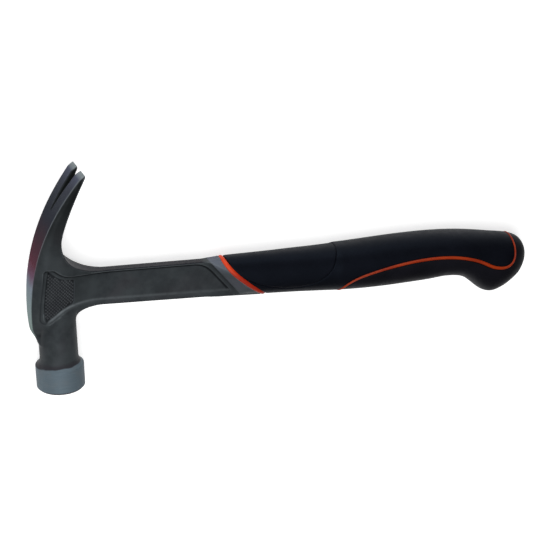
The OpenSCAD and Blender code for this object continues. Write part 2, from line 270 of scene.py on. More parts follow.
grip = {
    "start": 104.0, "palmRise": 19.0, "hookDrop": 24.2, "width": 30.0,
    "power": 2.3,  # 2 is an ellipse, more is squarer
    "stations": [
        (0, 0.68, 0.52, 0.57), (0.04, 0.695, 0.525, 0.61), (0.1, 0.708, 0.54, 0.66),
        (0.17, 0.726, 0.55, 0.71), (0.24, 0.75, 0.56, 0.77), (0.31, 0.772, 0.58, 0.825),
        (0.385, 0.815, 0.605, 0.88), (0.455, 0.869, 0.607, 0.92), (0.525, 0.924, 0.59, 0.953),
        (0.6, 0.965, 0.55, 0.975), (0.67, 0.982, 0.505, 0.987), (0.73, 0.968, 0.448, 0.995),
        (0.775, 0.94, 0.475, 1), (0.8, 0.917, 0.555, 1), (0.82, 0.897, 0.675, 1),
        (0.84, 0.872, 0.815, 1), (0.86, 0.845, 0.935, 0.998), (0.89, 0.8, 1, 0.985),
        (0.925, 0.75, 0.895, 0.935), (0.95, 0.7, 0.755, 0.84), (0.975, 0.585, 0.58, 0.67),
        (0.99, 0.39, 0.37, 0.48), (0.997, 0.2, 0.21, 0.3), (1, 0.09, 0.1, 0.14)],
    "front": [(-0.005, 0.9), (0.009, 0.26), (0.068, -0.08), (0.15, -0.82)],
    "thumb": [(0.06, 0.1), (0.12, -0.29), (0.17, -0.4), (0.213, -0.42)],
    "thumbRise": [(0.213, -0.42), (0.285, -0.458), (0.334, -0.13), (0.35, 0.30)],
    "seam": (0.375, 1.1),
    "loop": [
        [(0.378, -0.84), (0.389, -0.44), (0.415, -0.25), (0.46, -0.1)],
        [(0.46, -0.1), (0.52, 0.1), (0.59, 0.262), (0.66, 0.3)],
        [(0.66, 0.3), (0.73, 0.338), (0.795, 0.24), (0.848, -0.058)],
        [(0.848, -0.058), (0.886, -0.29), (0.946, -0.42), (0.948, 0.2)],
        [(0.948, 0.2), (0.949, 0.45), (0.945, 0.68), (0.938, 0.95)]],
    "ringWidth": 3.8, "gap": 0.05, "soft": 2.7,
    "lip": [(-0.8, 0), (-0.4, 0.05), (-0.15, 0.17), (0, 0.42)],  # drop of the skin towards a seam
    "loopRadius": [
        (0, 0.62), (0.2, 0.9), (0.3, 1.03), (0.6, 1.08), (0.72, 1.15), (0.8, 1.1), (0.87, 0.72),
        (0.92, 0.56), (1, 0.5)],
    "seamBulge": 0.4, "seamFade": 16.0,
    "ringStep": 0.8, "around": 120,
}
gripLength = reach["butt"] - grip["start"]


def gripPoint(share):
    return (grip["start"] + share[0] * gripLength, share[1] * grip["palmRise"])


def smoothChain(points, perSpan):
    p = np.array(points, float)
    p = np.vstack([2 * p[0] - p[1], p, 2 * p[-1] - p[-2]])
    knots = np.concatenate([[0], np.cumsum(np.linalg.norm(np.diff(p, axis=0), axis=1) ** 0.5)])
    out = []
    for i in range(1, len(p) - 2):
        slopes = []
        for j in (i, i + 1):
            before = (p[j] - p[j - 1]) / (knots[j] - knots[j - 1])
            after = (p[j + 1] - p[j]) / (knots[j + 1] - knots[j])
            share = (knots[j] - knots[j - 1]) / (knots[j + 1] - knots[j - 1])
            slopes.append((before * (1 - share) + after * share) * (knots[i + 1] - knots[i]))
        t = np.linspace(0, 1, perSpan, endpoint=False)[:, None]
        out.append((2 * t ** 3 - 3 * t ** 2 + 1) * p[i] + (t ** 3 - 2 * t ** 2 + t) * slopes[0]
                   + (3 * t ** 2 - 2 * t ** 3) * p[i + 1] + (t ** 3 - t ** 2) * slopes[1])
    return np.vstack(out + [p[-2:-1]])


def gripSections():
    places = [(grip["start"] + s * gripLength, top * grip["palmRise"], -low * grip["hookDrop"],
               wide * grip["width"] / 2) for s, top, low, wide in grip["stations"]]
    return smoothChain(places, 24)


sections = gripSections()


def sectionAt(x):
    top, low, wide = columnsAt(x, sections[:, 0], sections[:, 1:])
    return (top + low) / 2, (top - low) / 2, wide


def frontLine(back=0.0):
    return bezier([gripPoint(s) for s in grip["front"]]) + (back, 0)


def behindFront(back=0.0):
    line = frontLine(back)
    far = reach["butt"] + 20
    return outlineOf([(line[0][0], 40)], line, [(line[-1][0] + 10, -40), (far, -40), (far, 40)])


# The forging: head, neck, bell, shank and collar in one distance field

forging = {
    # shank and collar
    "shankHeight": 22.2, "shankThickness": 7.0, "collarHeight": 23.4, "droop": 0.3,
    "collarFoot": 103.9, "collarSlant": 42.4, "collarSwell": 8.6, "collarInset": 0.45, "collarReach": 24,
    "collarRise": [(0.3, -0.7), (2.9, 0.75), (3.2, 1.35), (5.5, 3.1), (8.8, 5.0), (12, 5.8), (20, 6.6)],
    # cheeks, claws and the band along the crown
    "cheekWidth": 24.4, "cheekTop": 31.0, "widening": 0.35, "clawTipWidth": 28.6,
    "bandTip": 27.2, "bandHeel": 7.0, "heelDrop": 33.0,
    "flareEnd": 32.0, "flare": (0.22, 0.44), "flareThickness": 0.69,
    "throatRun": 12.2, "throatDrop": 11.8, "throat": (0.86, 0.82),
    "slotTip": 8.3, "slotRoot": 1.6, "slotLength": 24.0,
    # neck and bell
    "neck": 23.8, "bell": 30.0, "bellRim": 14.5, "bellShoulder": 5.2, "faceChamfer": 1.4, "lean": 5.0,
    "pollTop": 14.0,
    # side recess, with the panel sunk in its floor
    "recess": 1.0, "recessDraft": 0.35, "ridgeDraft": 0.9, "endDraft": 0.3,
    "upperFlange": 1.3, "lowerFlange": 3.6, "panel": 0.55,
    # radii that soften the edges; a table is read along x, or along y for the shoulder
    "edge": 0.45, "shoulderBlend": [(0, 3.0), (45, 1.1)], "shankBlend": [(18, 1.0), (27, 0.02)],
    "neckBlend": 2.6, "cheekBlend": 0.8, "cheekFrom": (-9, -4), "slotEdge": 0.2,
    "recessEdge": 0.3, "floorEdge": 0.25, "collarEdge": 0.4, "collarBlend": 0.3,
}

# the grid that the field is worked out on: fine round the bell, the cheeks, the tips and the collar
grid = {
    "cell": 0.45, "layers": 37, "x": (-17.4, 133), "y": (-68.0, 79),
    "headEnd": 22, "growth": 0.06, "shankCell": 1.2, "collarStart": 86, "collarCell": 0.6,
    "coarser": 1.45, "bell": -47, "cheeks": (-21, 20), "tips": 71,
}

# where the cheek runs flush into the round neck: the line it starts from, and how far it takes
neckFlush = {
    "ridge": [(-11, -19), (-6.4, -17.8), (3.6, -11.6), (9.2, -9.6), (15.6, -8.6)],
    "run": [(-10, 10), (-6, 10), (2, 9), (12, 14)],
    "starts": (-17, -12), "ends": (14, 20), "inset": 0.2, "blend": 1.5,
}

crownShares = {
    "clawOuter": [(0.635, 0.966), (0.13, 0.81), (-1, 0.47), (-1, -0.026)],
    "clawTip": [(0.845, 1), (0.876, 0.98)],
    "clawInner": [(0.876, 0.98), (0.515, 0.806), (0.055, 0.545), (0.044, 0.437)],
    "heel": [(-1, -0.061), (-1.01, -0.333), (-0.96, -0.62), (-0.87, -0.8)],
    "heelStep": [(-0.73, -0.9), (-0.56, -1.03)],
    "heelInside": [(-0.25, -0.79), (0.25, -0.61)],
}


def headPoints(name):
    tall = forging["heelDrop"] if name.startswith("heel") else reach["claws"]
    return [(a * reach["crown"], b * tall) for a, b in crownShares[name]]


def crownLine():
    step = headPoints("heelStep")
    return outlineOf(
        [step[1], step[0]], bezier(headPoints("heel"))[::-1], bezier(headPoints("clawOuter"))[::-1],
        [headPoints("clawTip")[0]])


def headOutline():
    f = forging
    half = f["shankHeight"] / 2
    root = headPoints("clawInner")[3]
    rootCurve = [root, (0.057 * reach["crown"], 0.275 * reach["claws"]), (0.74 * reach["crown"], half),
                 (f["flareEnd"], half)]
    drop, run = f["throatDrop"], f["throatRun"]
    throat = [(run, -drop - half), (run, -half - (1 - f["throat"][1]) * drop),
              (run + (1 - f["throat"][0]) * drop, -half), (f["flareEnd"], -half)]
    inside = headPoints("heelInside")
    return outlineOf(crownLine(), bezier(headPoints("clawInner")), bezier(rootCurve)[1:],
                     bezier(throat)[::-1], [inside[1], inside[0]])


def sectionLow(x):
    yc, half, _ = sectionAt(x)
    return yc - half


def shankOutline():
    f = forging
    top, low = f["collarHeight"] / 2 - f["droop"], f["collarHeight"] / 2 + f["droop"]
    start = grip["start"]
    collarStart = start - f["collarSwell"]
    line = frontLine(0.3)
    yc, half, _ = sectionAt(line[:, 0])
    line = line[np.abs(line[:, 1] - yc) < half]
    under = [(x, sectionLow(x)) for x in np.linspace(line[-1][0] + 0.6, start, 9)]
    return outlineOf(
        [(f["flareEnd"] / 2, f["shankHeight"] / 2), (collarStart, top),
         (start - 0.5, (yc + half)[0] - 0.6)],
        line, under, [(collarStart, -low), (f["flareEnd"] / 2, -f["shankHeight"] / 2)])


def recessLowEdge():
    f = forging
    low = f["collarHeight"] / 2 + f["droop"] - f["lowerFlange"]
    return outlineOf(
        [(f["collarFoot"] + low * math.tan(math.radians(f["collarSlant"])), -low)],
        bezier([(f["flareEnd"], f["lowerFlange"] - f["shankHeight"] / 2), (20, -6.9), (10, -7.1),
                (3.6, -9.6)], 12),
        bezier([(3.6, -9.6), (0.5, -11.2), (-3.5, -15), (-6.4, -16.9)], 8))


def recessOutline():
    f = forging
    slant = math.tan(math.radians(f["collarSlant"]))
    top = f["collarHeight"] / 2 - f["droop"] - f["upperFlange"]
    foot, half = f["collarFoot"], f["shankHeight"] / 2
    return outlineOf(
        [(-11.0, -5.4), (-9.7, 15.6), (-8.6, 16.6), (-3.6, 16.4)],
        bezier([(-3.6, 16.4), (0.4, 13.4), (2.6, 12.0), (7.1, 11.2)], 8),
        bezier([(7.1, 11.2), (12, 10.2), (20, 9.6), (f["flareEnd"], half - f["upperFlange"])], 8),
        bezier([(foot - 17, top - 0.1), (foot - 9.5, top), (foot - 6.5, 7.2), (foot - 2 * slant, 2)], 12),
        recessLowEdge(),
        bezier([(-6.4, -16.9), (-8.4, -18.2), (-10.9, -17.9), (-11.1, -14.8)], 8))


def panelOutline():
    return outlineOf(
        [(-9.0, -6.2), (-8.2, 8.7), (-7.1, 16.0)],
        bezier([(-5.6, 15.0), (-1.9, 11.6), (1.2, 9.9), (9.5, 8.7)], 10),
        [(10.0, 8.1), (10.1, -5.2), (9.6, -6.4)],
        bezier([(9.0, -6.9), (5, -8.2), (0.5, -10.8), (-6.2, -16.6)], 10),
        [(-7.4, -16.5), (-8.6, -14.4)])


def bellRadiusTable(step=0.1):
    # the turned neck and bell: distances over the radius and the place along the poll
    f = forging
    neck, bell = f["neck"] / 2, f["bell"] / 2
    top = reach["face"] - f["faceChamfer"] - f["bellRim"]
    shoulder = bezier([(neck, top - f["bellShoulder"]), (neck, top - f["bellShoulder"] / 2),
                       ((neck + bell) / 2, top), (bell, top + 0.3)], 12)
    outline = outlineOf(
        [(-40, f["pollTop"]), (neck, f["pollTop"])], shoulder,
        [(bell, reach["face"] - f["faceChamfer"]), (bell - f["faceChamfer"], reach["face"]),
         (-40, reach["face"])])
    radius = np.arange(0, 34, step)
    along = np.arange(-12, 80, step)
    r, t = np.meshgrid(radius, along, indexing="ij")
    return signedDistance(r, t, outline), (0.0, -12.0), step


def gridLines():
    g, cell = grid, grid["cell"]
    xs, ys = [g["x"][0]], [g["y"][0]]
    while xs[-1] < g["x"][1]:
        x = xs[-1]
        grown = min(g["shankCell"], cell + (x - g["headEnd"]) * g["growth"])
        xs.append(x + (cell if x < g["headEnd"] else grown if x < g["collarStart"] else g["collarCell"]))
    while ys[-1] < g["y"][1]:
        y = ys[-1]
        fine = y < g["bell"] or g["cheeks"][0] < y < g["cheeks"][1] or y > g["tips"]
        ys.append(y + (cell if fine else g["coarser"] * cell))
    return np.array(xs), np.array(ys), (np.arange(g["layers"]) + 0.5) * cell


def sideHalf(x, y):
    f, n = forging, neckFlush
    cheek, thin, claw = f["cheekWidth"] / 2, f["shankThickness"] / 2, f["clawTipWidth"] / 2
    flare = bezier([(0, cheek), (f["flare"][0] * f["flareEnd"], cheek),
                    (f["flare"][1] * f["flareEnd"], f["flareThickness"] * f["shankThickness"]),
                    (f["flareEnd"], thin)])
    span = reach["claws"] - f["cheekTop"]
    spread = bezier([
        (f["cheekTop"], cheek), (f["cheekTop"] + f["widening"] * span, cheek),
        (reach["claws"] - f["widening"] * span, cheek + (1 - f["widening"]) * (claw - cheek)),
        (reach["claws"] + 5, claw)])
    # the flare into the shank ends below the claws
    plan = np.interp(x, flare[:, 0], flare[:, 1]) + 12 * smoothStep(y, 24, 36)
    side = np.minimum(plan, np.interp(y, spread[:, 0], spread[:, 1]))
    neckRound = np.sqrt(np.maximum((f["neck"] / 2) ** 2 - acrossPoll(x, y) ** 2, 0.01)) - n["inset"]
    neckRound = smoothMax(neckRound, thin, n["blend"])
    below = smoothStep((tableAt(x, n["ridge"]) - y) / tableAt(x, n["run"]), 0.03, 1)
    flush = below * smoothStep(x, *n["starts"]) * (1 - smoothStep(x, *n["ends"]))
    return side + flush * (np.minimum(side, neckRound) - side)


def acrossPoll(x, y):
    lean = math.radians(forging["lean"])
    return x * math.cos(lean) + y * math.sin(lean)


def alongPoll(x, y):
    lean = math.radians(forging["lean"])
    return x * math.sin(lean) - y * math.cos(lean)


def crownDepth(x, y):
    crown = crownLine()
    low, high = crown[0], crown[-1]
    return signedDistance(x, y, outlineOf(
        [(200, low[1] - 8), (low[0], low[1] - 8)], crown, [(high[0] + 4, high[1] + 4), (200, high[1] + 4)]))


def bandHalf(y):
    f = forging
    return np.interp(y, [-f["heelDrop"], reach["claws"]], [f["bandHeel"] / 2, f["bandTip"] / 2])


def forgingField():
    f = forging
    xs, ys, zs = gridLines()
    x, y = np.meshgrid(xs, ys, indexing="ij")
    head = signedDistance(x, y, headOutline())
    depth = crownDepth(x, y)
    side = sideHalf(x, y)
    thin = f["shankThickness"] / 2
    band = bandHalf(y)

    # the collar's half thickness across its slant, from a little way ahead of it
    near = grip["start"] - f["collarReach"]
    slant = math.radians(f["collarSlant"])
    start = f["collarFoot"] * math.cos(slant)
    yc, high, wide = sectionAt(x)
    swell = np.array([(start - 1, thin - f["recess"]), (start, thin - f["recess"])]
                     + [(start + a, thin + b) for a, b in f["collarRise"]])
    collar = np.interp(x * math.cos(slant) + y * math.sin(slant), swell[:, 0], swell[:, 1])

    def steep(values):
        gx, gy = np.gradient(values, xs, ys)
        return np.sqrt(1 + gx * gx + gy * gy)[..., None]

    z = zs[None, None, :]
    sideSlope, collarSlope = steep(side), steep(collar)
    edge = f["edge"]
    shoulder = (z - band[..., None] + depth[..., None]) / math.sqrt(2)
    turn = tableAt(y, f["shoulderBlend"])[..., None]
    block = smoothMax((z - side[..., None]) / sideSlope, shoulder, turn)
    block = smoothMax(block, head[..., None], edge)

    slotHalf = signedDistance(*np.meshgrid(ys, zs, indexing="ij"), slotOutline())
    block = smoothMax(block, -slotHalf[None], f["slotEdge"])

    rod = signedDistance(x, y, shankOutline())
    shank = smoothMax(rod[..., None], z - thin, edge)
    body = smoothMin(block, shank, tableAt(x, f["shankBlend"])[..., None])

    table, first, step = bellRadiusTable()
    radius = np.sqrt(acrossPoll(x, y)[..., None] ** 2 + z ** 2)
    poll = sampleTable(table, first, step, radius, alongPoll(x, y)[..., None])
    cheekPart = smoothStep(x, *f["cheekFrom"])
    blend = (f["neckBlend"] + cheekPart * (f["cheekBlend"] - f["neckBlend"]))[..., None]
    body = smoothMin(body, poll, blend)

    # the swell up to the grip, inside the grip's own section
    power = grip["power"]
    u = (np.abs(y - yc) / high)[..., None] + 1e-6
    v = z / wide[..., None]
    level = (u ** power + v ** power) ** (1 / power)
    uSlope, vSlope = u ** (power - 1) / high[..., None], v ** (power - 1) / wide[..., None]
    steepness = np.sqrt(uSlope ** 2 + vSlope ** 2)
    inSection = (level - 1) / (steepness * level ** (1 - power) + 1e-6) + f["collarInset"]
    bulge = smoothMax(inSection, (z - collar[..., None]) / collarSlope, f["collarEdge"])
    bulge = smoothMax(bulge, np.maximum(rod, near - 2 - x)[..., None], f["collarBlend"])
    body = np.where(x[..., None] > near, smoothMin(body, bulge, f["collarBlend"]), body)

    # the side recess, with the sunk panel in the cheek
    for outline, floorDrop in ((recessOutline(), f["recess"]),
                               (panelOutline(), f["recess"] + f["panel"])):
        rim = signedDistance(x, y, outline)
        down = np.clip(-np.gradient(rim, ys, axis=1), 0, 1)
        back = np.clip(np.gradient(rim, xs, axis=0), 0, 1) * (x > near - 6)
        draft = (f["recessDraft"] + f["ridgeDraft"] * down + f["endDraft"] * back)[..., None]
        rim = rim[..., None]
        floor = (np.where(x < near, side, thin) - floorDrop)[..., None]
        above = (z - floor) / sideSlope
        wall = (rim - draft * np.maximum(z - floor, 0)) / np.sqrt(1 + draft * draft)
        cut = smoothMax(wall, -above, f["floorEdge"])
        body = smoothMax(body, -cut, f["recessEdge"])
    return body, xs, ys, zs


def slotOutline():
    f = forging
    root, tip = reach["claws"] - f["slotLength"], reach["claws"]
    small, large = f["slotRoot"] / 2, f["slotTip"] / 2
    grow = (large - small) / f["slotLength"]
    turn = np.linspace(math.pi / 2, math.pi * 1.5, 9)
    return outlineOf(
        [(tip + 8, -large - 8 * grow), (tip + 8, large + 8 * grow)],
        [(root + small * math.cos(a), small * math.sin(a)) for a in turn])


cellCorners = ((0, 0), (1, 0), (1, 1), (0, 1))


def otherAxes(axis):
    return [n for n in range(3) if n != axis]


def withoutDiagonals(field):
    # where a grid face has its signs crosswise, four quads would share an edge, so the weakest flips.
    # A flip can cross the signs of the next face, so there are three rounds.
    field = field.copy()
    flipped = 0
    for axis in (0, 1, 2) * 3:
        p, q = otherAxes(axis)
        corners = []
        for dp, dq in cellCorners:
            cut = [slice(None)] * 3
            cut[p] = slice(dp, field.shape[p] - 1 + dp)
            cut[q] = slice(dq, field.shape[q] - 1 + dq)
            corners.append(field[tuple(cut)])
        signs = [c < 0 for c in corners]
        crossed = (signs[0] == signs[2]) & (signs[1] == signs[3]) & (signs[0] != signs[1])
        at = np.stack(np.nonzero(crossed), 1)
        weakest = np.argmin(np.stack([np.abs(c[crossed]) for c in corners], 1), axis=1)
        at[:, p] += (weakest == 1) | (weakest == 2)
        at[:, q] += weakest >= 2
        at = np.unique(at, axis=0)
        field[tuple(at.T)] *= -1
        flipped += len(at)
    print("grid signs flipped:", flipped)
    return field


def surfaceNet(field, xs, ys, zs):
    # one point in each cell that the surface crosses, and one quad on each grid edge that it crosses
    field = withoutDiagonals(field)
    inside = field < 0
    corner = [(i, j, k) for i in (0, 1) for j in (0, 1) for k in (0, 1)]
    nx, ny, nz = (n - 1 for n in field.shape)
    count = np.zeros((nx, ny, nz), np.int8)
    for i, j, k in corner:
        count += inside[i:i + nx, j:j + ny, k:k + nz]
    ci, cj, ck = np.nonzero((count > 0) & (count < 8))
    total, hits = np.zeros((len(ci), 3)), np.zeros(len(ci))
    for a in corner:
        for axis in range(3):
            if a[axis]:
                continue
            b = tuple(v + (n == axis) for n, v in enumerate(a))
            fa = field[ci + a[0], cj + a[1], ck + a[2]]
            fb = field[ci + b[0], cj + b[1], ck + b[2]]
            crossed = (fa < 0) != (fb < 0)
            t = np.where(crossed, fa / np.where(crossed, fa - fb, 1), 0)
            point = np.stack([xs[ci + a[0]], ys[cj + a[1]], zs[ck + a[2]]], 1)
            far = np.stack([xs[ci + b[0]], ys[cj + b[1]], zs[ck + b[2]]], 1)
            total += np.where(crossed[:, None], point + t[:, None] * (far - point), 0)
            hits += crossed
    points = total / hits[:, None]
    cellOf = np.full((nx, ny, nz), -1, np.int32)
    cellOf[ci, cj, ck] = np.arange(len(ci))
    quads = []
    for axis in range(3):
        p, q = otherAxes(axis)
        low = [slice(1, -1)] * 3
        low[axis] = slice(0, -1)
        high = list(low)
        high[axis] = slice(1, None)
        a, b = inside[tuple(low)], inside[tuple(high)]
        e = np.stack(np.nonzero(a != b), 1)
        leaving = a[tuple(e.T)]
        e[:, p] += 1
        e[:, q] += 1
        ring = []
        for dp, dq in cellCorners:
            c = e.copy()
            c[:, p] -= dp
            c[:, q] -= dq
            ring.append(cellOf[tuple(c.T)])
        ring = np.stack(ring, 1)
        turned = leaving if axis != 1 else ~leaving
        ring[~turned] = ring[~turned][:, ::-1]
        quads.append(ring)
    return points, np.concatenate(quads)


def fieldAt(field, lines, points):
    index, share = [], []
    for n in range(3):
        i = np.clip(np.searchsorted(lines[n], points[:, n]) - 1, 0, len(lines[n]) - 2)
        index.append(i)
        share.append((points[:, n] - lines[n][i]) / (lines[n][i + 1] - lines[n][i]))
    value, slope = 0, [0, 0, 0]
    for a in ((i, j, k) for i in (0, 1) for j in (0, 1) for k in (0, 1)):
        f = field[index[0] + a[0], index[1] + a[1], index[2] + a[2]]
        w = [share[n] if a[n] else 1 - share[n] for n in range(3)]
        value = value + f * w[0] * w[1] * w[2]
        for n in range(3):
            p, q = otherAxes(n)
            width = lines[n][index[n] + 1] - lines[n][index[n]]
            slope[n] = slope[n] + f * w[p] * w[q] * (1 if a[n] else -1) / width
    return value, np.stack(slope, 1)


def quadEdges(quads):
    return np.concatenate([quads[:, [a, (a + 1) % 4]] for a in range(4)])


def settle(points, quads, field, lines, rounds=4):
    # the net is relaxed and put back on the surface by turns
    edges = quadEdges(quads)
    for step in range(rounds):
        total, hits = np.zeros_like(points), np.zeros(len(points))
        for a, b in ((0, 1), (1, 0)):
            np.add.at(total, edges[:, a], points[edges[:, b]])
            np.add.at(hits, edges[:, a], 1)
        if step < rounds - 1:
            points = points + 0.4 * (total / hits[:, None] - points)
        for _ in range(2):
            value, slope = fieldAt(field, lines, points)
            length = np.sum(slope * slope, axis=1) + 1e-9
            move = np.clip(value / length, -0.3, 0.3)
            points = points - slope * move[:, None]
    return points


def convexity(points, quads, field, lines, rounds=3):
    # how far each point stands out of its neighbourhood: above 0 on edges, below 0 in corners
    edges = quadEdges(quads)
    hits = np.bincount(edges[:, 0], minlength=len(points)).astype(float)

    def spread(values):
        return np.stack([np.bincount(edges[:, 0], values[edges[:, 1], k], len(points))
                         for k in range(values.shape[1])], 1) / hits[:, None]

    soft = points
    for _ in range(rounds):
        soft = (soft + spread(soft)) / 2
    slope = fieldAt(field, lines, points)[1]
    slope /= np.linalg.norm(slope, axis=1)[:, None] + 1e-9
    out = np.sum((points - soft) * slope, axis=1)[:, None]
    for _ in range(2):
        out = (out + spread(out)) / 2
    return out[:, 0]


def makeObject(name, points, faces, smooth=True):
    mesh = bpy.data.meshes.new(name)
    mesh.from_pydata([tuple(p) for p in toFrame(points)], [], [tuple(int(i) for i in f) for f in faces])
    mesh.validate()
    mesh.update()
    if smooth:
        mesh.shade_smooth()
    return addObject(name, mesh)


def addAttribute(piece, name, values):
    layer = piece.data.attributes.new(name, "FLOAT", "POINT")
    layer.data.foreach_set("value", np.asarray(values, np.float32))


# marks for the steel's colours: painted highlights along the crown band's ridge and the lower lip, painted
# shade on the outline's walls, on the sunk panel and in the slot, and the claw tips' ground bevels
marks = {
    "crownFrom": (-29.8, -27.6),
    "ridge": {"width": 0.26, "depth": (-1.3, -0.7), "rises": (-4, 30)},
    "lip": {"width": 0.65, "strength": [(-7, 0.3), (-4, 1.0), (12, 0.85), (26, 0.5), (95, 0.35)],
            "clear": 2.2},
    "wall": {"depth": (0.25, 0.6), "pastCrown": (2.0, 4.0), "ends": (92, 97), "rises": (-16, -10)},
    "panel": {"inside": (0.25, 0.6), "above": (-0.5, -0.3), "backWidth": 0.4, "backEnds": (-8.5, -6.5)},
    "bevel": {"thickness": (0.3, 0.6), "from": (73.6, 76.4)},
}


def forgingMarks(x, y, z):
    # what the steel's finish needs to know of each point
    f, across = forging, np.abs(z)
    depth = crownDepth(x, y)
    onBand = smoothStep(bandHalf(y) + 0.2 - across, -0.4, 0.4) * smoothStep(depth, -1.0, -0.5)
    slant = math.radians(f["collarSlant"])

    m = marks["ridge"]
    ridge = np.exp(-((across - bandHalf(y)) / m["width"]) ** 2) * smoothStep(depth, *m["depth"])

    m = marks["lip"]
    edge = recessLowEdge()
    away = np.abs(signedDistance(x, y, outlineOf(edge, edge[::-1])))
    lip = np.exp(-(away / m["width"]) ** 2) * tableAt(x, m["strength"]) * (across > m["clear"])

    m = marks["wall"]
    plan = np.minimum(signedDistance(x, y, headOutline()), signedDistance(x, y, shankOutline()))
    wall = (1 - smoothStep(-plan, *m["depth"])) * smoothStep(-depth, *m["pastCrown"])
    wall = wall * (1 - smoothStep(x, *m["ends"])) * smoothStep(y, *m["rises"])

    # painted shade on the sunk panel's floor and along the recess's back wall
    m = marks["panel"]
    floor = sideHalf(x, y) - f["recess"] - f["panel"]
    panelShadeMask = (smoothStep(-signedDistance(x, y, panelOutline()), *m["inside"])
             * smoothStep(across - floor, *m["above"]))
    backWallShade = np.exp(-(signedDistance(x, y, recessOutline()) / m["backWidth"]) ** 2)
    backWallShade = backWallShade * (1 - smoothStep(x, *m["backEnds"]))

    m = marks["bevel"]
    tip, heel = headPoints("clawTip")[0], headPoints("clawOuter")[0]
    normal = np.array([heel[1] - tip[1], tip[0] - heel[0]])
    normal /= np.linalg.norm(normal)
    off = (x - tip[0]) * normal[0] + (y - tip[1]) * normal[1]

    return {
        "crownBand": onBand * smoothStep(y, *marks["crownFrom"]),
        "pastFoot": x * math.cos(slant) + y * math.sin(slant) - f["collarFoot"] * math.cos(slant),
        "ridgeHighlight": ridge * smoothStep(y, *marks["ridge"]["rises"]),
        # painted shade inside the nail slot
        "slotShade": (1 - smoothStep(signedDistance(y, across, slotOutline()), 0.3, 0.7)) * (depth < 6),
        "lowLipHighlight": lip,
        "planWallShade": wall,
        "panelShade": np.maximum(panelShadeMask, backWallShade),
        "alongPoll": alongPoll(x, y),
        "tipBevel": (1 - smoothStep(np.abs(off), *m["thickness"])) * smoothStep(y, *m["from"]),
    }


def makeForging():
    field, xs, ys, zs = forgingField()
    field = np.concatenate([field[:, :, ::-1], field], axis=2)
    lines = (xs, ys, np.concatenate([-zs[::-1], zs]))
    points, quads = surfaceNet(field, *lines)
    points = settle(points, quads, field, lines)
    piece = makeObject("steelBody", points, quads)
    # convexity: above 0 it gives rubbed edges with a painted highlight, below 0 painted shade in creases
    addAttribute(piece, "wearAndHighlight", convexity(points, quads, field, lines))
    for name, values in forgingMarks(*points.T).items():
        addAttribute(piece, name, values)
    print("steelBody:", len(points), "points,", len(quads), "quads")
    return piece


tang = {
    "height": 13.0, "thickness": 5.0, "bevel": 0.5,
    "line": [(-0.015, 0), (0.45, 0.06), (0.67, 0.16), (0.86, 0.02)],
    "windows": (0.3, 0.5, 0.7), "windowLength": 18.0, "windowHeight": 6.0,
}


def addTang(piece, t):
    line = [gripPoint(share) for share in t["line"]]
    half = t["height"] / 2
    runs = [[(x, y + half) for x, y in line] + [(x, y - half) for x, y in reversed(line)]]
    straight, radius = (t["windowLength"] - t["windowHeight"]) / 2, t["windowHeight"] / 2
    for share in t["windows"]:
        cx, cy = gripPoint((share, t["line"][1][1]))
        turn = [math.pi * (n / 10 - 0.5) for n in range(11)]  # half round, at one end of the window
        right = [(cx + straight + radius * math.cos(a), cy + radius * math.sin(a)) for a in turn]
        runs.append(right + [(2 * cx - x, 2 * cy - y) for x, y in right])
    data = bpy.data.curves.new("tang", "CURVE")
    data.dimensions = "2D"
    data.fill_mode = "BOTH"
    data.extrude = t["thickness"] / 2 - t["bevel"]
    data.bevel_depth = t["bevel"]
    data.offset = -t["bevel"]
    for run in runs:
        spline = data.splines.new("POLY")
        spline.points.add(len(run) - 1)
        for point, (x, y) in zip(spline.points, run):
            point.co = (x, y, 0, 1)
        spline.use_cyclic_u = True
    bar = addObject("tang", data)
    mesh = evaluated(bar)
    mesh.transform(Matrix.Translation(Vector(origin)) @ Matrix.Scale(0.001, 4))
    bpy.data.objects.remove(bar)
    bar = addObject("tang", mesh)
    cleanMesh(bar)
    join = piece.modifiers.new("join", "BOOLEAN")
    join.operation, join.solver, join.object = "UNION", "MANIFOLD", bar
    joined = evaluated(piece)
    piece.modifiers.remove(join)
    bpy.data.objects.remove(bar)
    grew = len(joined.vertices) > len(piece.data.vertices)
    print("tang joined:", grew, len(joined.polygons), "faces")
    if grew:
        piece.data = joined
    cleanMesh(piece)
    piece.data.shade_smooth()
    piece.data.set_sharp_from_angle(angle=math.radians(60))


def dropCrumbs(work):
    # a cut can leave scraps of skin off the piece, so only the largest part stays
    left, parts = set(work.faces), []
    while left:
        part = [left.pop()]
        for face in part:
            for edge in face.edges:
                for other in edge.link_faces:
                    if other in left:
                        left.remove(other)
                        part.append(other)
        parts.append(part)
    parts.sort(key=len)
    for part in parts[:-1]:
        bmesh.ops.delete(work, geom=part, context="FACES")
    if len(parts) > 1:
        print("crumbs dropped:", [len(part) for part in parts[:-1]])


def cleanMesh(piece):
    work = bmesh.new()
    work.from_mesh(piece.data)
    bmesh.ops.remove_doubles(work, verts=work.verts, dist=2e-6)
    dropCrumbs(work)
    bmesh.ops.recalc_face_normals(work, faces=work.faces)
    work.to_mesh(piece.data)
    work.free()


steelBody = makeForging()
addTang(steelBody, tang)


# The grip's skin: rows of superellipse sections, each vertex known by its row and its column

def skinRows():
    along = lengthAlong(sections)
    wanted = np.linspace(0, along[-1], int(along[-1] / grip["ringStep"]) + 1)
    return np.stack(columnsAt(wanted, along, sections), 1)


rows = skinRows()


def skinPoint(row, column, inset=0.0):
    x, top, low, wide = columnsAt(row, np.arange(len(rows)), rows)
    share = (x - grip["start"]) / gripLength
    x = grip["start"] + share * (gripLength - inset)
    angle = 2 * math.pi * column / grip["around"]
    half = np.maximum((top - low) / 2 - inset, 0.02)
    wide = np.maximum(wide - inset, 0.02)
    power = 2 / grip["power"]
    c, s = np.cos(angle), np.sin(angle)
    return np.stack([x, (top + low) / 2 + half * np.sign(c) * np.abs(c) ** power,
                     wide * np.sign(s) * np.abs(s) ** power], -1)


